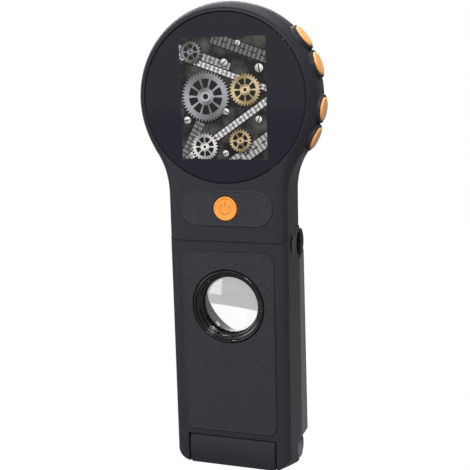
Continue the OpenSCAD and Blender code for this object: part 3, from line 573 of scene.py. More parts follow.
# the lower end of the rear housing, with the lugs of the upper hinge
lug_form = bmesh.new()
lug_form.from_mesh(frame["nodes"]["rear_shell"].data)
bmesh.ops.remove_doubles(lug_form, verts=lug_form.verts, dist=0.002 * mm)
lug_parts = lug_form.verts[:] + lug_form.edges[:] + lug_form.faces[:]
bmesh.ops.bisect_plane(
    lug_form, geom=lug_parts, dist=0.001 * mm,
    plane_co=(0, 0, head_centre.z + rear_end * mm), plane_no=(0, 0, 1), clear_outer=True)
bmesh.ops.holes_fill(lug_form, edges=[e for e in lug_form.edges if e.is_boundary])
lug_mesh = bpy.data.meshes.new("rear_lugs")
lug_form.to_mesh(lug_mesh)
lug_form.free()
lug_mesh.shade_smooth()
lug_mesh.set_sharp_from_angle(angle=math.radians(28))
lugs = placed("rear_lugs", lug_mesh)
lugs.modifiers.new("even shading", "WEIGHTED_NORMAL").keep_sharp = True
# the open end of the barrel gets painted shade: its colour goes nearly black within the hollow's
# circle
hollow_y, hollow_z, hollow_r = 11.2 * mm, 96.9 * mm, 5.7 * mm
barrel_end = 25.93 * mm
lug_finish_with_shade = Finish("hinge_lugs", roughness=housing_shine, specular_ior_level=0.15)
spot = lug_finish_with_shade.every("ShaderNodeSeparateXYZ", [lug_finish_with_shade.place()])
off_y, off_z = spot["Y"] - hollow_y, spot["Z"] - hollow_z
# painted shade: 1 inside the hollow end of the barrel, where the colour is made nearly black
hollow_shade = (hollow_r**2 - (off_y * off_y + off_z * off_z)).ramp(0.0, 0.4 * mm**2)
hollow_shade = hollow_shade * (barrel_end - spot["X"].size()).ramp(0.0, 0.02 * mm)
lug_finish_with_shade.feed(
    "Base Color", lug_finish_with_shade.blend(hollow_shade, housing_colour, (0.002, 0.002, 0.0025)))
fitted(lugs, "head", lug_finish_with_shade.material, "housing")

# seats of the side buttons and cups of the head screws, moulded with the housings
seat_foot, seat_top, seat_inside, seat_outside = 36.3, 39.75, 5.03, 6.6
seat_profile = eased([
    (seat_foot, seat_inside), (seat_top, seat_inside), (seat_top, 5.75), (38.35, 6.0),
    (seat_depth, seat_outside), (seat_foot, seat_outside), (seat_foot, seat_inside)], 0.3, 4) * mm
for number, axis in enumerate(button_axes.values(), 1):
    hub = Vector((0, (button_depth - origin_depth) * mm, head_centre.z))
    seat = skin(f"button_seat_{number}", [turned(seat_profile, hub, axis, 72)])
    fitted(seat, "head", housing_finish, "housing")


def screw_cup_grid(a):
    """A cup for a screw head: its floor, its wall, and a lip that follows the rounded back,
    whose depth is D + sqrt(A^2 - (A - inset)^2) at an inset from the rim."""
    turn = full_turn(48)

    def ring(radius, depth=None, sunk=0.0):
        x = screw_ring * math.cos(a) + radius * np.cos(turn)
        z = screw_ring * math.sin(a) + radius * np.sin(turn)
        if depth is None:
            inset = head_r - np.hypot(x, z)
            arc = np.sqrt(np.clip(back_arc**2 - (back_arc - inset) ** 2, 0, None))
            depth = head_depth - back_arc + arc - sunk
        return np.column_stack([x, np.broadcast_to(depth, x.shape), z])

    under = screw_floor - 0.5
    return to_row(np.array([
        ring(0, screw_floor), ring(screw_cup, screw_floor), ring(screw_cup, sunk=0.15),
        ring(screw_cup + 0.1, sunk=-0.02), ring(screw_cup + 0.6, sunk=-0.02),
        ring(screw_cup + 0.6, sunk=0.6), ring(screw_cup + 0.3, under), ring(0, under)]))


cups = skin("screw_cups", [screw_cup_grid(a) for a in screw_angles])
fitted(cups, "head", housing_finish, "housing")


# ---- window and lit picture ----
# A disc of clear acrylic printed black behind, with a clear field over the display. It is
# glued to a ledge just below the rim, and its edge is ground to a narrow chamfer.

window_r = (glass_high.x - glass_low.x) / 2
window_chamfer = 0.25 * mm
picture_w = 36.9 * mm
picture_h = 49.2 * mm
window_colour = (0.0155, 0.0155, 0.0225)


# in mm from the picture's middle. Bars: place, slope in degrees, half length, half width and
# tone. Wheels: place, radius, teeth, their height, dark and light colour, arms. Screws:
# place, radius and the turn of the slot.
bars = (
    (-10, 17.5, -20, 14, 1.4, 0.30), (8, 20, -20, 13, 2.2, 0.12),
    (12.5, -20.5, 34, 15, 2.6, 0.33), (-14, -17, 62, 9, 2.0, 0.16),
    (3, -11.5, 34, 22, 1.3, 0.62), (0.5, 10.5, -20, 24, 1.1, 0.68))
wheels = (
    (-7.5, 1.0, 9.8, 46, 0.42, (0.10, 0.10, 0.11), (0.40, 0.40, 0.43), 5),
    (9.5, 3.5, 6.2, 30, 0.36, (0.20, 0.14, 0.055), (0.70, 0.56, 0.32), 4),
    (-8.5, -19.5, 5.4, 26, 0.34, (0.22, 0.21, 0.20), (0.80, 0.79, 0.76), 4),
    (7.0, -17.0, 4.4, 22, 0.30, (0.17, 0.12, 0.05), (0.62, 0.48, 0.27), 3),
    (-13.5, 19.0, 4.2, 20, 0.30, (0.05, 0.05, 0.055), (0.26, 0.26, 0.28), 3))
screws = (
    (0.8, 14.4, 1.5, 40), (15.5, 12.0, 1.7, 100), (-15.8, -8.6, 1.5, 10), (1.2, -5.2, 1.3, 150),
    (15.0, -8.4, 1.4, 70), (0.6, -22.2, 1.3, 20), (6.8, 22.0, 1.1, 60))
soft_edge = 0.12 * mm


def distance(dx, dz):
    return (dx * dx + dz * dz).maths("SQRT")


def waves(run, length):
    """A sine along the run, whose waves have this length."""
    return (run * (2 * math.pi / length)).maths("SINE")


def disc_mask(middle, radius):
    """1 within the radius of a point at the distance middle, and 0 outside."""
    return (radius * mm - middle).ramp(-soft_edge / 2, soft_edge / 2)


def gear_mask(dx, dz, radius, teeth, tooth):
    """1 inside a toothed wheel, and 0 outside: its radius is
    radius + tooth * sin(teeth * angle), squared off."""
    wave = (dz.maths("ARCTAN2", dx) * teeth).maths("SINE") * 3.0
    edge = radius * mm + tooth * mm * wave.at_most(1.0).at_least(-1.0)
    return (edge - distance(dx, dz)).ramp(-0.05 * mm, 0.12 * mm)


def along_bar(dx, dz, slope):
    """Distance along and across a bar that lies at an angle of slope degrees."""
    c, s = math.cos(math.radians(slope)), math.sin(math.radians(slope))
    return dx * c + dz * s, dz * c - dx * s


def bar_mask(along, over, half_length, half_width):
    inside = (half_width * mm - over.size()).ramp(-soft_edge / 2, soft_edge / 2)
    return inside * (half_length * mm - along.size()).ramp(-soft_edge / 2, soft_edge / 2)


def display_finish():
    """Black window with the lit picture behind it: a clockwork seen through the microscope,
    with steel and brass wheels, bridges, screws and jewels, all in greys and pale brass."""
    finish = Finish("black_window", roughness=0.06, specular_ior_level=0.16)
    finish.shader.inputs["Emission Strength"].default_value = 1.0
    place = finish.place()
    spot = finish.every("ShaderNodeSeparateXYZ", [place])
    x, z = spot["X"], spot["Z"] - head_centre.z
    grit = finish.noise(place, 0.6 * mm, 3, 0.6)
    cloud = finish.noise(place, 6 * mm, 2)
    picture = finish.blend(cloud, grey(0.004), (0.028, 0.027, 0.025))
    patches = (cloud * 3.2 - 1.35).at_least(0.0).at_most(1.0)
    picture = finish.blend(patches * grit * 0.7, picture, (0.22, 0.21, 0.19))

    def laid(mask, colour):
        return finish.blend(mask, picture, colour)

    for at_x, at_z, slope, length, width, tone in bars:
        along, over = along_bar(x - at_x * mm, z - at_z * mm, slope)
        picture = laid(bar_mask(along, over, length + 0.35, width + 0.4), grey(0.006))
        stripe = waves(along, 1.9 * mm).ramp(-0.4, 0.5)
        dark, light = scaled((1, 1, 1.02), tone * 0.10), scaled((1, 1, 1), min(tone * 1.9, 0.95))
        face = finish.blend(stripe * 0.5 + grit * 0.5, dark, light)
        picture = laid(bar_mask(along, over, length, width), face)
        slots = bar_mask(along, over, length - 1, width * 0.12)
        picture = laid(slots * waves(along, 4.3 * mm).ramp(-0.2, 0.0), grey(0.015))

    for at_x, at_z, radius, teeth, tooth, dark, light, arms in wheels:
        dx, dz = x - at_x * mm, z - at_z * mm
        shadow = gear_mask(dx - 0.5 * mm, dz + 0.6 * mm, radius + 0.5, teeth, tooth)
        picture = laid(shadow * 0.85, grey(0.004))
        middle, angle = distance(dx, dz), dz.maths("ARCTAN2", dx)
        sheen = (angle * 2.0 + 0.9).maths("SINE") * 0.5 + 0.5
        face = finish.blend((sheen * 0.75 + grit * 0.35).at_most(1.0), dark, light)
        picture = laid(gear_mask(dx, dz, radius, teeth, tooth), face)
        gap = disc_mask(middle, radius * 0.74) - disc_mask(middle, radius * 0.36)
        arm = (angle * arms).maths("SINE").size().ramp(0.30, 0.42)
        picture = laid(gap.at_least(0.0) * arm, (0.012, 0.012, 0.013))
        picture = laid(disc_mask(middle, radius * 0.20), scaled(light, 1.15))
        picture = laid(disc_mask(middle, radius * 0.12), (0.02, 0.01, 0.012))

    for at_x, at_z, radius, turn in screws:
        dx, dz = x - at_x * mm, z - at_z * mm
        middle = distance(dx, dz)
        picture = laid(disc_mask(middle, radius + 0.35), grey(0.008))
        shade = (dx * 0.5 + dz).ramp(-radius * mm, radius * mm)
        head = finish.blend(shade, (0.28, 0.28, 0.29), (0.92, 0.92, 0.93))
        picture = laid(disc_mask(middle, radius), head)
        slot = bar_mask(*along_bar(dx, dz, turn), radius * 0.9, radius * 0.16)
        picture = laid(slot, grey(0.01))

    soft = 0.10 * mm
    lit = (picture_w / 2 - x.size()).ramp(0, soft) * (picture_h / 2 - z.size()).ramp(0, soft)
    lit = lit * (glass_low.y + 0.4 * mm - spot["Y"]).ramp(0.0, 0.1 * mm)
    finish.feed("Base Color", finish.blend(lit, window_colour, grey(0.002)))
    finish.feed("Emission Color", finish.blend(lit, (0, 0, 0), picture))
    return finish.material


window_t = glass_high.y - glass_low.y
window_profile = eased(
    [(0, 0), (0, window_r - window_chamfer), (window_chamfer, window_r), (window_t, window_r),
     (window_t, 0)], 0.05 * mm, 3)
window = skin("window", [turned(window_profile, (0, glass_low.y, head_centre.z), steps=192)])
fitted(window, "head", display_finish(), "black_window", "screen_glass")


# ---- boards, display frame and battery inside the head ----
# Green circuit boards with etched copper, black chips, a display module in a pressed frame
# and a battery cell in silver foil. All are hidden until the housings come apart.


def board_finish():
    """Green solder mask with paler copper tracks under it."""
    finish = Finish("circuit_board", coat_weight=0.3)
    place = finish.place()
    track = finish.cell_edges(place, 2.2 * mm).ramp(0.06, 0.09)
    mottle = finish.noise(place, 1.2 * mm, 2)
    mask = finish.blend(mottle, (0.006, 0.060, 0.022), (0.010, 0.085, 0.032))
    finish.feed("Base Color", finish.blend(track, (0.035, 0.16, 0.055), mask))
    finish.feed("Roughness", 0.30 + 0.15 * mottle)
    finish.bump(track, 0.03 * mm)
    return finish.material


def metal_finish(name, colour, shine, brush=(1, 1, 1), grain=0.3 * mm, depth=0.004 * mm):
    """Bare or plated metal with the fine lines of its brushing or turning."""
    finish = Finish(name, metallic=1.0)
    stretched = finish.node("ShaderNodeMapping", None, {"Vector": finish.place(), "Scale": brush})
    lines = finish.noise(stretched, grain, 3, 0.6)
    finish.feed("Base Color", finish.blend(lines, scaled(colour, 0.85), scaled(colour, 1.1)))
    finish.feed("Roughness", shine - 0.06 + 0.12 * lines)
    finish.bump(lines, depth)
    return finish.material


board_green = board_finish()
dark_steel = metal_finish("dark_steel", (0.085, 0.085, 0.09), 0.36)
steel = metal_finish("steel", (0.52, 0.53, 0.55), 0.28, (12, 1, 12))
black_plastic = moulded_plastic("black_plastic", (0.011, 0.011, 0.012), 0.42)
white_board = moulded_plastic("white_board", (0.62, 0.62, 0.60), 0.4, 0.5 * mm, 0.006 * mm)
battery_foil = metal_finish(
    "battery_foil", (0.55, 0.56, 0.58), 0.34, (1, 1, 6), 1.4 * mm, 0.05 * mm)
chip_finish = moulded_plastic("chip", (0.010, 0.010, 0.011), 0.5, 0.2 * mm, 0.01 * mm)
dress(board_green, "main_board", "side_key_board", "power_board", "port_board", "sensor_board")
dress(chip_finish, "board_chips")
dress(dark_steel, "lcd_bracket", "shell_screws")
dress(metal_finish("display_back", (0.42, 0.43, 0.45), 0.4), "lcd_panel")
dress(battery_foil, "battery_pack")
dress(steel, "side_switches", "usb_socket", "card_socket")


# ---- side buttons ----
# Four round caps of orange ABS in scooped seats along the rim. Each has a soft domed face,
# a flange that keeps it in the housing and a stem that presses its key switch.

orange = (0.94, 0.345, 0.055)
button_face = (head_r + 1.7) * mm
button_r = 4.8 * mm
button_dome = 0.3375 * mm
button_edge = 0.8 * mm
flange = (34.9 * mm, 35.7 * mm)
flange_r = 4.9 * mm
stem_end = 34.3 * mm
stem_r = 1.6 * mm
orange_finish = moulded_plastic(
    "orange_button", orange, 0.36, 0.3 * mm, 0.004 * mm, specular_ior_level=0.3)
# The side caps get a paler copy of the same orange: painted light, standing in for the light they
# catch.
painted_light_orange = moulded_plastic(
    "side_orange", (0.98, 0.44, 0.13), 0.36, 0.3 * mm, 0.004 * mm, specular_ior_level=0.4)


def cap_profile():
    """Half section of a button from the middle of its domed face to the end of its stem:
    the face falls by dome * (r / radius)^2 and turns down over a rounded edge."""
    r = np.linspace(0, button_r - button_edge, 10)
    fall = button_face - button_dome * (r / button_r) ** 2
    turn = np.linspace(0, np.pi / 2, 8)[1:]
    round_off = np.column_stack([
        fall[-1] - button_edge * (1 - np.cos(turn)), r[-1] + button_edge * np.sin(turn)])
    rest = [(flange[1], button_r), (flange[1], flange_r), (flange[0], flange_r),
            (flange[0], stem_r), (stem_end, stem_r), (stem_end, 0)]
    return np.vstack([np.column_stack([fall, r]), round_off, rest])


for number in (1, 2, 3, 4):
    node = f"side_button_{number}"
    low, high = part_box(node)
    hub = Vector((0, (low.y + high.y) / 2, head_centre.z))
    cap = skin(f"side_button_cap_{number}", [turned(cap_profile(), hub, button_axes[node], 64)])
    fitted(cap, node, painted_light_orange, "orange_button", node)


# ---- raised pad and power button ----
# A long pad of soft black rubber let into the front of the handle, with a fine leather
# grain and a narrow raised border. The orange power button comes up through it.

pad_corner = (pad_high.z - pad_low.z) / 2 - 0.05 * mm
border_w = 0.7 * mm
border_h = 0.12 * mm
pad_edge = 0.4 * mm
grip_colour = (0.0200, 0.0200, 0.0272)


def round_outline(width, height, corner, count=32):
    """A rectangle with round corners, as points (x, z): four arcs of radius corner, with
    the straight sides between them cut into equal parts."""
    turn = np.linspace(0, np.pi / 2, count)
    arcs = []
    for quarter, (sx, sz) in enumerate(((1, 1), (-1, 1), (-1, -1), (1, -1))):
        angle = turn + quarter * np.pi / 2
        middle = np.array([sx * (width / 2 - corner), sz * (height / 2 - corner)])
        arcs.append(middle + corner * circle(angle))
    share = np.linspace(0, 1, count)[1:-1, None]
    lines = [a[-1] * (1 - share) + b[0] * share for a, b in zip(arcs, arcs[1:] + arcs[:1])]
    return np.vstack([part for pair in zip(arcs, lines) for part in pair])


def pad_grid(low, high, corner, hole, hole_r):
    """A raised pad with a round hole. Rows run from the back of the rim over its rounded
    edge, the border and the field to the hole and down through it. A row at inset d is the
    outline of the pad made smaller by d; the field blends from it to the hole's circle."""
    middle = middle_of(low, high)
    width, height = high.x - low.x, high.z - low.z
    turn = np.linspace(0, np.pi / 2, 6)

    def row(at, drop):
        return np.column_stack([at[:, 0], np.full(len(at), low.y + drop), at[:, 1]])

    sunk = high.y - low.y
    rim = [(0.0, sunk), (0.0, pad_edge)]
    rim += list(zip(pad_edge * (1 - np.cos(turn)), pad_edge * (1 - np.sin(turn))))[1:]
    rim += [(border_w, 0.0), (border_w + border_h * 0.8, border_h * 0.3),
            (border_w + border_h * 1.6, border_h)]
    rows = []
    for inset, drop in rim:
        corner_there = max(corner - inset, 0.05 * mm)
        ring = round_outline(width - 2 * inset, height - 2 * inset, corner_there)
        rows.append(row(middle + ring, drop))
    field = rows[-1][:, [0, 2]]
    spoke = field - hole
    spoke /= np.linalg.norm(spoke, axis=1, keepdims=True)
    lip = 0.35 * mm
    brink = hole + spoke * (hole_r + lip)
    for share in np.linspace(0, 1, 9)[1:]:
        rows.append(row(field * (1 - share) + brink * share, border_h))
    for angle in turn[1:]:
        at = hole + spoke * (hole_r + lip * (1 - np.sin(angle)))
        rows.append(row(at, border_h + lip * (1 - np.cos(angle))))
    rows.append(row(hole + spoke * hole_r, sunk))
    rows.append(rows[0])
    return closed(rows)


def leather_finish(name, colour, shine):
    """Soft rubber moulded like fine leather: small cells with creases between them. The creases
    get painted shade: their colour is darker.
    """
    finish = Finish(name, specular_ior_level=0.32)
    place = finish.place()
    cloud = finish.node("ShaderNodeTexNoise", None, {"Vector": place, "Scale": 1 / (2 * mm)}, 1)
    offset = finish.node(
        "ShaderNodeVectorMath", {"operation": "SCALE"}, {0: cloud, "Scale": 0.5 * mm})
    warped = finish.node("ShaderNodeVectorMath", {"operation": "ADD"}, [place, offset])
    crease_and_shade = finish.cell_edges(warped, 0.95 * mm).ramp(0.0, 0.26)
    drift = finish.noise(place, 12 * mm, 3)
    dark, light = scaled(colour, 0.55), scaled(colour, 1.18)
    # painted shade: the colour darkens towards the creases between the cells
    finish.feed("Base Color", finish.blend(crease_and_shade * 0.7 + drift * 0.3, dark, light))
    finish.feed("Roughness", shine - 0.1 * crease_and_shade + 0.06 * drift)
    finish.bump(crease_and_shade, 0.07 * mm)
    return finish.material


grip_finish = leather_finish("grip", grip_colour, 0.56)
power_low, power_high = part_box("power_button")
power_at = middle_of(power_low, power_high)
pad = skin("control_pad", [pad_grid(pad_low, pad_high, pad_corner, power_at, 5.22 * mm)])
fitted(pad, "head", grip_finish, "grip", "button_pad")

power_r = 5 * mm
power_face = -10.95 * mm
power_flange = (3.1 * mm, 3.9 * mm)
power_flange_r = 5.7 * mm
power_stem = 4.4 * mm
mark_r = 2.25 * mm
mark_w = 0.26 * mm
mark_h = 0.14 * mm
mark_depth = power_face + 0.36 * mm


def dished_profile(radius, rim, dish):
    """Half section of the power button: a narrow rounded rim round a shallow dish."""
    r = np.linspace(0, radius - rim, 9)
    face = dish * (1 - (r / (radius - rim)) ** 4)
    turn = np.linspace(0, np.pi, 11)[1:]
    edge = np.column_stack([
        -0.3 * rim * np.sin(turn), radius - rim / 2 - rim / 2 * np.cos(turn)])
    near, far = power_flange
    rest = [(near, radius), (near, power_flange_r), (far, power_flange_r), (far, stem_r),
            (power_stem, stem_r), (power_stem, 0)]
    return np.vstack([np.column_stack([face, r]), edge, rest])


def raised_line(path):
    """A raised line along a path in the plane of the button: its section is an ellipse half
    sunk in the face, and both ends are drawn in to a point."""
    path = np.asarray(path, float)
    run = np.gradient(path, axis=0)
    run /= np.linalg.norm(run, axis=1, keepdims=True)
    side = np.column_stack([-run[:, 1], run[:, 0]])
    angle = full_turn(20)
    size = np.ones(len(path))
    size[[0, -1]] = 0
    across = np.cos(angle)[None, :] * mark_w * size[:, None]
    out = np.sin(angle)[None, :] * mark_h * size[:, None]
    x = path[:, None, 0] + side[:, None, 0] * across
    z = path[:, None, 1] + side[:, None, 1] * across
    return np.stack([x, mark_depth - out, z], axis=-1)


power_profile = dished_profile(power_r, 0.9 * mm, 0.12 * mm)
power_hub = (power_at[0], power_face + 0.25 * mm, power_at[1])
power_cap = skin("power_cap", [turned(power_profile, power_hub, steps=72)])
fitted(power_cap, "power_button", orange_finish, "orange_button", "power_button")
mark_gap = 34
sweep = np.radians(np.linspace(90 + mark_gap, 450 - mark_gap, 61))
ring_path = power_at + mark_r * circle(sweep)
bar_path = np.column_stack([
    np.full(13, power_at[0]), power_at[1] + np.linspace(0.5, 2.9, 13) * mm])
mark = skin("power_mark", [raised_line(path) for path in (ring_path, bar_path)])
mark_finish = moulded_plastic("power_mark", (0.62, 0.20, 0.03), 0.4, 0.3 * mm, 0.004 * mm)
fitted(mark, "power_button", mark_finish, "orange_button")


# ---- liners of the charging and card openings ----
# Two thin black plastic frames that line the openings in the left side of the head housing.
# Each is pushed into its opening and follows the housing's side where it curves into the neck.

# how far each row is outside the opening, and how far it stands out of the housing's side
liner_rows = (
    (0.1, -2.0), (0.1, 0.0), (0.16, 0.07), (0.42, 0.07), (0.5, 0.0), (0.5, -0.6), (0.3, -2.0),
    (0.1, -2.0))


def liner_grid(low, high, corner):
    """A frame round an opening: rows of a round-cornered outline from its inner edge, out
    over the lip and back. The side's distance from the middle plane is that of the handle,
    and in the neck X - sqrt(R^2 - (z - Z)^2)."""
    middle = np.array([(low.y + high.y) / 2, (low.z + high.z) / 2])
    rows = []
    for grow, out in liner_rows:
        wider = grow * mm
        ring = middle + round_outline(
            high.y - low.y + 2 * wider, high.z - low.z + 2 * wider, corner + wider, 9)
        up = np.clip((ring[:, 1] - head_centre.z) / mm - neck_z, 0, None)
        side = neck_x - np.sqrt(neck_r**2 - up**2)
        rows.append(np.column_stack([-(side + out) * mm, ring]))
    return closed(rows)


liners = skin("port_liners", [
    liner_grid(usb_low, usb_high, 1.4 * mm), liner_grid(card_low, card_high, 0.5 * mm)])
fitted(liners, "head", black_plastic, "black_plastic")


# ---- camera, focus ring and lamps behind the head ----
# A black turned barrel on the back of the head carries a knurled focus ring, which drives
# the lens cell along a thread. White lamps round the lens shine through a clear shroud.



def clouded(name, grain, detail, first, second, **constants):
    """A finish whose colour drifts a little between two, and the noise it follows."""
    finish = Finish(name, **constants)
    drift = finish.noise(finish.place(), grain, detail)
    finish.feed("Base Color", finish.blend(drift, first, second))
    return finish, drift


glass_clear = clouded(
    "lens_glass", 20 * mm, 1, (0.97, 0.98, 0.98), grey(1.0), roughness=0.02,
    transmission_weight=1.0, ior=1.52)[0].material
shroud_finish, haze = clouded(
    "clear_plastic", 5 * mm, 3, (0.90, 0.92, 0.92), (0.97, 0.98, 0.98),
    transmission_weight=1.0, ior=1.49)
shroud_finish.feed("Roughness", 0.05 + 0.1 * haze)
lamp_finish = clouded(
    "lamp", 2 * mm, 2, (0.80, 0.72, 0.35), (0.88, 0.86, 0.72), roughness=0.25,
    coat_weight=0.6)[0].material
dress(black_plastic, "camera_barrel", "barrel_cap", "lens_cell")
dress(glass_clear, "objective_lens")
dress(white_board, "led_board")
dress(lamp_finish, "lamps")
dress(shroud_finish.material, "light_shroud")

ring_low, ring_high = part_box("focus_ring")
ring_r = (ring_high.x - ring_low.x) / 2
bore_r = 17.62 * mm
rib_count = 60
rib_depth = 0.55 * mm
rib_fade = 0.5 * mm
plain_w = 1.2 * mm
ring_w = ring_high.y - ring_low.y


def ribs(angle, along):
    """Grip ribs of the focus ring: rounded grooves between rib_count ribs, that fade out
    over the plain band at each end and inside the bore."""
    band = np.clip((along - plain_w) / rib_fade, 0, 1)
    band = band * np.clip((ring_w - plain_w - along) / rib_fade, 0, 1)
    return -rib_depth * band * (0.5 - 0.5 * np.cos(rib_count * angle)) ** 0.6


outside = eased([(0, bore_r), (0, ring_r), (ring_w, ring_r), (ring_w, bore_r)], 0.5 * mm, 5)
in_front = outside[:, 0] <= ring_w / 2
across = np.column_stack([np.linspace(0.6 * mm, ring_w - 0.6 * mm, 25), np.full(25, ring_r)])
bore = np.column_stack([np.linspace(ring_w, 0, 5), np.full(5, bore_r)])
ring_middle = (0, ring_low.y, head_centre.z)
ribbed = np.vstack([outside[in_front], across, outside[~in_front]])
outer = turned(ribbed, ring_middle, steps=rib_count * 8, wobble=ribs)
inner = turned(bore, ring_middle, steps=rib_count * 8)
focus = skin("focus_grip", [outer, inner])
fitted(focus, "focus", black_plastic, "black_plastic", "focus_ring")


# ---- column, its back cover and the leg ----
# The lower handle is a moulded shell closed by a screwed cover. The leg behind it is a
# second moulding with a flat stage plate. Pins and washers of both hinges are steel.

leg_finish = moulded_plastic(
    "leg_housing", (0.128, 0.126, 0.140), 0.5, specular_ior_level=0.3)
dress(housing_finish, "column_shell", "column_cover")
dress(leg_finish, "leg_plate")
dress(black_plastic, "stage_plate")
dress(steel, "swing_pin", "leg_pin", "swing_washers", "leg_washers")
dress(dark_steel, "cover_screws")


# ---- grip panel ----
# A large panel of the same soft rubber as the pad, let into the front of the column round
# the loupe, with the same grain and narrow raised border.

panel_low, panel_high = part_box("grip_panel")
loupe_low, loupe_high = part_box("loupe_ring")
loupe_at = middle_of(loupe_low, loupe_high)
loupe_r = (loupe_high.x - loupe_low.x) / 2
panel = skin("grip_face", [pad_grid(
    panel_low, panel_high, 4.2 * mm, loupe_at, loupe_r + 0.12 * mm)])
fitted(panel, "column", grip_finish, "grip", "grip_panel")


# ---- loupe ----
# A clear lens held between a stepped ring of polished black plastic in front and a tube
# behind it. The ring drops to the lens in rounded steps.

gloss_black = moulded_plastic(
    "black_gloss", (0.0035, 0.0035, 0.0045), 0.16, 0.5 * mm, 0.001 * mm,
    specular_ior_level=0.42)
# distance behind the ring's front and inside its edge, in mm
steps_in = [
    (0.7, 0.0), (0.0, 0.5), (0.0, 1.0), (1.2, 1.5), (1.35, 2.35), (2.6, 2.75), (2.8, 3.45),
    (4.3, 3.8)]
loupe_hole_r = loupe_r - 3.85 * mm
ring_depth = loupe_high.y - loupe_low.y
ring_points = [(ring_depth, loupe_r)] + [(d * mm, loupe_r - t * mm) for d, t in steps_in]
ring_points += [(ring_depth, loupe_hole_r), (ring_depth, loupe_r)]
loupe_profile = eased(ring_points, 0.30 * mm, 5)
loupe_hub = (loupe_at[0], loupe_low.y, loupe_at[1])
loupe_piece = skin("loupe_rim", [turned(loupe_profile, loupe_hub, steps=128)])
fitted(loupe_piece, "column", gloss_black, "black_gloss", "loupe_ring")

lens_low, lens_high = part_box("loupe_lens")
lens_r = (lens_high.x - lens_low.x) / 2
lens_edge = 2 * mm
lens_middle = (lens_low.y + lens_high.y) / 2
r = np.linspace(0, lens_r, 40)
lens_t = (lens_high.y - lens_low.y) / 2
bulge = lens_edge / 2 + (lens_t - lens_edge / 2) * (1 - (r / lens_r) ** 2)
lens_profile = np.vstack([np.column_stack([-bulge, r]), np.column_stack([bulge, r])[::-1]])
lens_hub = (loupe_at[0], lens_middle, loupe_at[1])
lens = skin("loupe_glass", [turned(lens_profile, lens_hub, steps=128)])
fitted(lens, "column", glass_clear, "lens_glass", "loupe_lens")
dress(black_plastic, "loupe_tube")


# ---- hinge cover ----
# A slim bulging cover of the housing's plastic, clipped over the lower hinge at the foot of
# the column, with soft edges and a narrow dark gap round it.

cover_low, cover_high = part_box("hinge_cover")
cover_half = cover_high.x - 0.35 * mm
cover_top = cover_high.z - 0.25 * mm
cover_round = 0.7 * mm
cover_bulge = 20 * mm


def cover_section(inset):
    """Depth and height round the cover, made smaller by inset all round. The front is an
    arc: depth = front + R - sqrt(R^2 - (z - middle)^2)."""
    top, bottom = cover_top - inset, cover_low.z + inset
    middle = (cover_high.z + cover_low.z) / 2
    height = np.linspace(top, bottom, 11)
    front = cover_low.y + inset + cover_bulge - np.sqrt(cover_bulge**2 - (height - middle) ** 2)
    corners = np.vstack([
        [(cover_high.y, top)], np.column_stack([front, height]), [(cover_high.y, bottom)]])
    reach = np.array([1.1] + [0.5] * 9 + [0.7]) * mm
    section = eased(corners, reach, 5)
    return np.vstack([section, section[:1]])


turn = np.linspace(0, np.pi / 2, 7)
end = [
    (cover_half - cover_round * (1 - math.cos(a)), cover_round * (1 - math.sin(a)))
    for a in turn]
rows = []
for sign, run in ((-1, end), (1, end[::-1])):
    for at_x, inset in run:
        section = cover_section(inset)
        rows.append(np.column_stack([np.full(len(section), sign * at_x), section]))
core = [0, (cover_low.y + cover_high.y) / 2, (cover_low.z + cover_high.z) / 2]
middle = [row * [1, 0, 0] + core for row in (rows[0], rows[-1])]
cover = skin("hinge_flap", [np.array([middle[0]] + rows + [middle[1]])])
fitted(cover, "column", housing_finish, "housing", "hinge_cover")


# ---- side plugs and rubber feet ----
# Round plugs close the screw holes beside the seam. The feet are domed rubber buttons
# glued into shallow seats in the leg.

plug_finish = moulded_plastic("plug", (0.0045, 0.0045, 0.006), 0.3, specular_ior_level=0.12)
foot_finish = moulded_plastic("foot_rubber", grey(0.012), 0.7, 0.5 * mm, 0.02 * mm)
dress(plug_finish, "side_plugs")
dress(foot_finish, "leg_feet")


# ---- studio ----
# A white floor that ends behind the part, and an even room that is seen as white. Four
# soft lamps: a key from the front right, a strip from the front left, one behind the part
# and one above it.

floor_size = 3.0
floor_back = 0.27
floor_mesh = bpy.data.meshes.new("floor")
floor_mesh.from_pydata(
    [(-floor_size, -floor_size, 0), (floor_size, -floor_size, 0),
     (floor_size, floor_back, 0), (-floor_size, floor_back, 0)], [], [(0, 1, 2, 3)])
floor = placed("floor", floor_mesh)
floor_finish = Finish(
    "floor", base_color=(0.16, 0.16, 0.16, 1), roughness=0.9, specular_ior_level=0.0)
white = grey(1.0)
ray = floor_finish.every("ShaderNodeLightPath")
glow = floor_finish.node("ShaderNodeEmission", None, {"Color": white, "Strength": 1.075})
# how much of the glow is seen directly, in a reflection and through glass
seen = (0.92 * ray["Is Camera Ray"]).at_least(0.35 * ray["Is Glossy Ray"])
seen = seen.at_least(0.06 * ray["Is Transmission Ray"])
matt = Wire(floor_finish, floor_finish.shader.outputs[0])
surface = floor_finish.node("ShaderNodeMixShader", None, [seen, matt, glow])
output = next(n for n in floor_finish.tree.nodes if n.type == "OUTPUT_MATERIAL")
floor_finish.tree.links.new(surface.socket, output.inputs["Surface"])
floor_mesh.materials.append(floor_finish.material)

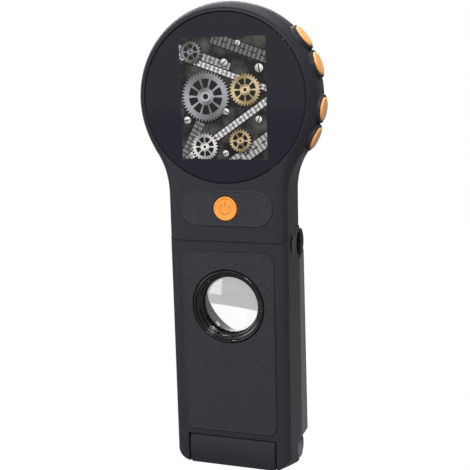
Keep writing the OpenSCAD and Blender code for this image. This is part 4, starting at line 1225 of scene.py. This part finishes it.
world = bpy.data.worlds.new("room")
bpy.context.scene.world = world
world.use_nodes = True
room = Shading(world.node_tree)
ray = room.every("ShaderNodeLightPath")
towards = room.node("ShaderNodeSeparateXYZ", None, [room.node("ShaderNodeTexCoord")])
dark_side = 1 - 0.9 * towards.ramp(-0.25, 0.3)
white_share = ray["Is Camera Ray"].at_least(ray["Is Transmission Ray"])
white_share = white_share.at_least(ray["Is Glossy Ray"] * dark_side)
backdrop = room.node("ShaderNodeBackground", None, {"Color": white, "Strength": 1.0})
dim_room = room.node("ShaderNodeBackground", None, {"Color": white, "Strength": 0.30})
around = room.node("ShaderNodeMixShader", None, [white_share, dim_room, backdrop])
room.tree.links.new(around.socket, room.tree.nodes["World Output"].inputs["Surface"])


def soft_lamp(name, at, aim, size, power):
    lamp = bpy.data.lights.new(name, "AREA")
    lamp.shape = "RECTANGLE"
    lamp.size, lamp.size_y = size
    lamp.energy = power
    holder = placed(name, lamp)
    holder.location = at
    holder.rotation_euler = (Vector(aim) - Vector(at)).to_track_quat("-Z", "Y").to_euler()


soft_lamp("key", (0.36, -0.89, 0.80), (0, 0, 0.09), (0.14, 0.32), 12.0)
soft_lamp("left strip", (-0.62, -0.75, 0.14), (0, 0, 0.12), (0.35, 0.5), 3.4)
soft_lamp("back fill", (-0.45, 0.85, 0.65), (0, 0, 0.10), (0.6, 0.6), 7.0)
soft_lamp("overhead", (0.0, 0.10, 0.75), (0, 0, 0.10), (0.5, 0.3), 2.8)


# ---- camera ----
# It stands to the right of the front and a little above the part, and is turned slightly
# on its own axis. Its lens is 69 mm long for a sensor 36 mm wide.

azimuth, elevation, roll = math.radians(19.06), math.radians(10.64), math.radians(1.47)
side = Vector((math.cos(azimuth), math.sin(azimuth), 0))
toward = Vector((
    math.sin(azimuth) * math.cos(elevation), -math.cos(azimuth) * math.cos(elevation),
    math.sin(elevation)))
upward = toward.cross(side)
camera_data = bpy.data.cameras.new("camera")
camera_data.lens = 69.27
camera_data.sensor_width = 36
camera = placed("camera", camera_data)
turn = Matrix((
    side * math.cos(roll) - upward * math.sin(roll),
    side * math.sin(roll) + upward * math.cos(roll), toward)).transposed().to_4x4()
turn.translation = Vector((0.12433, -0.35882, 0.17282))
camera.matrix_world = turn
bpy.context.scene.camera = camera
bpy.context.scene.view_settings.view_transform = "Standard"
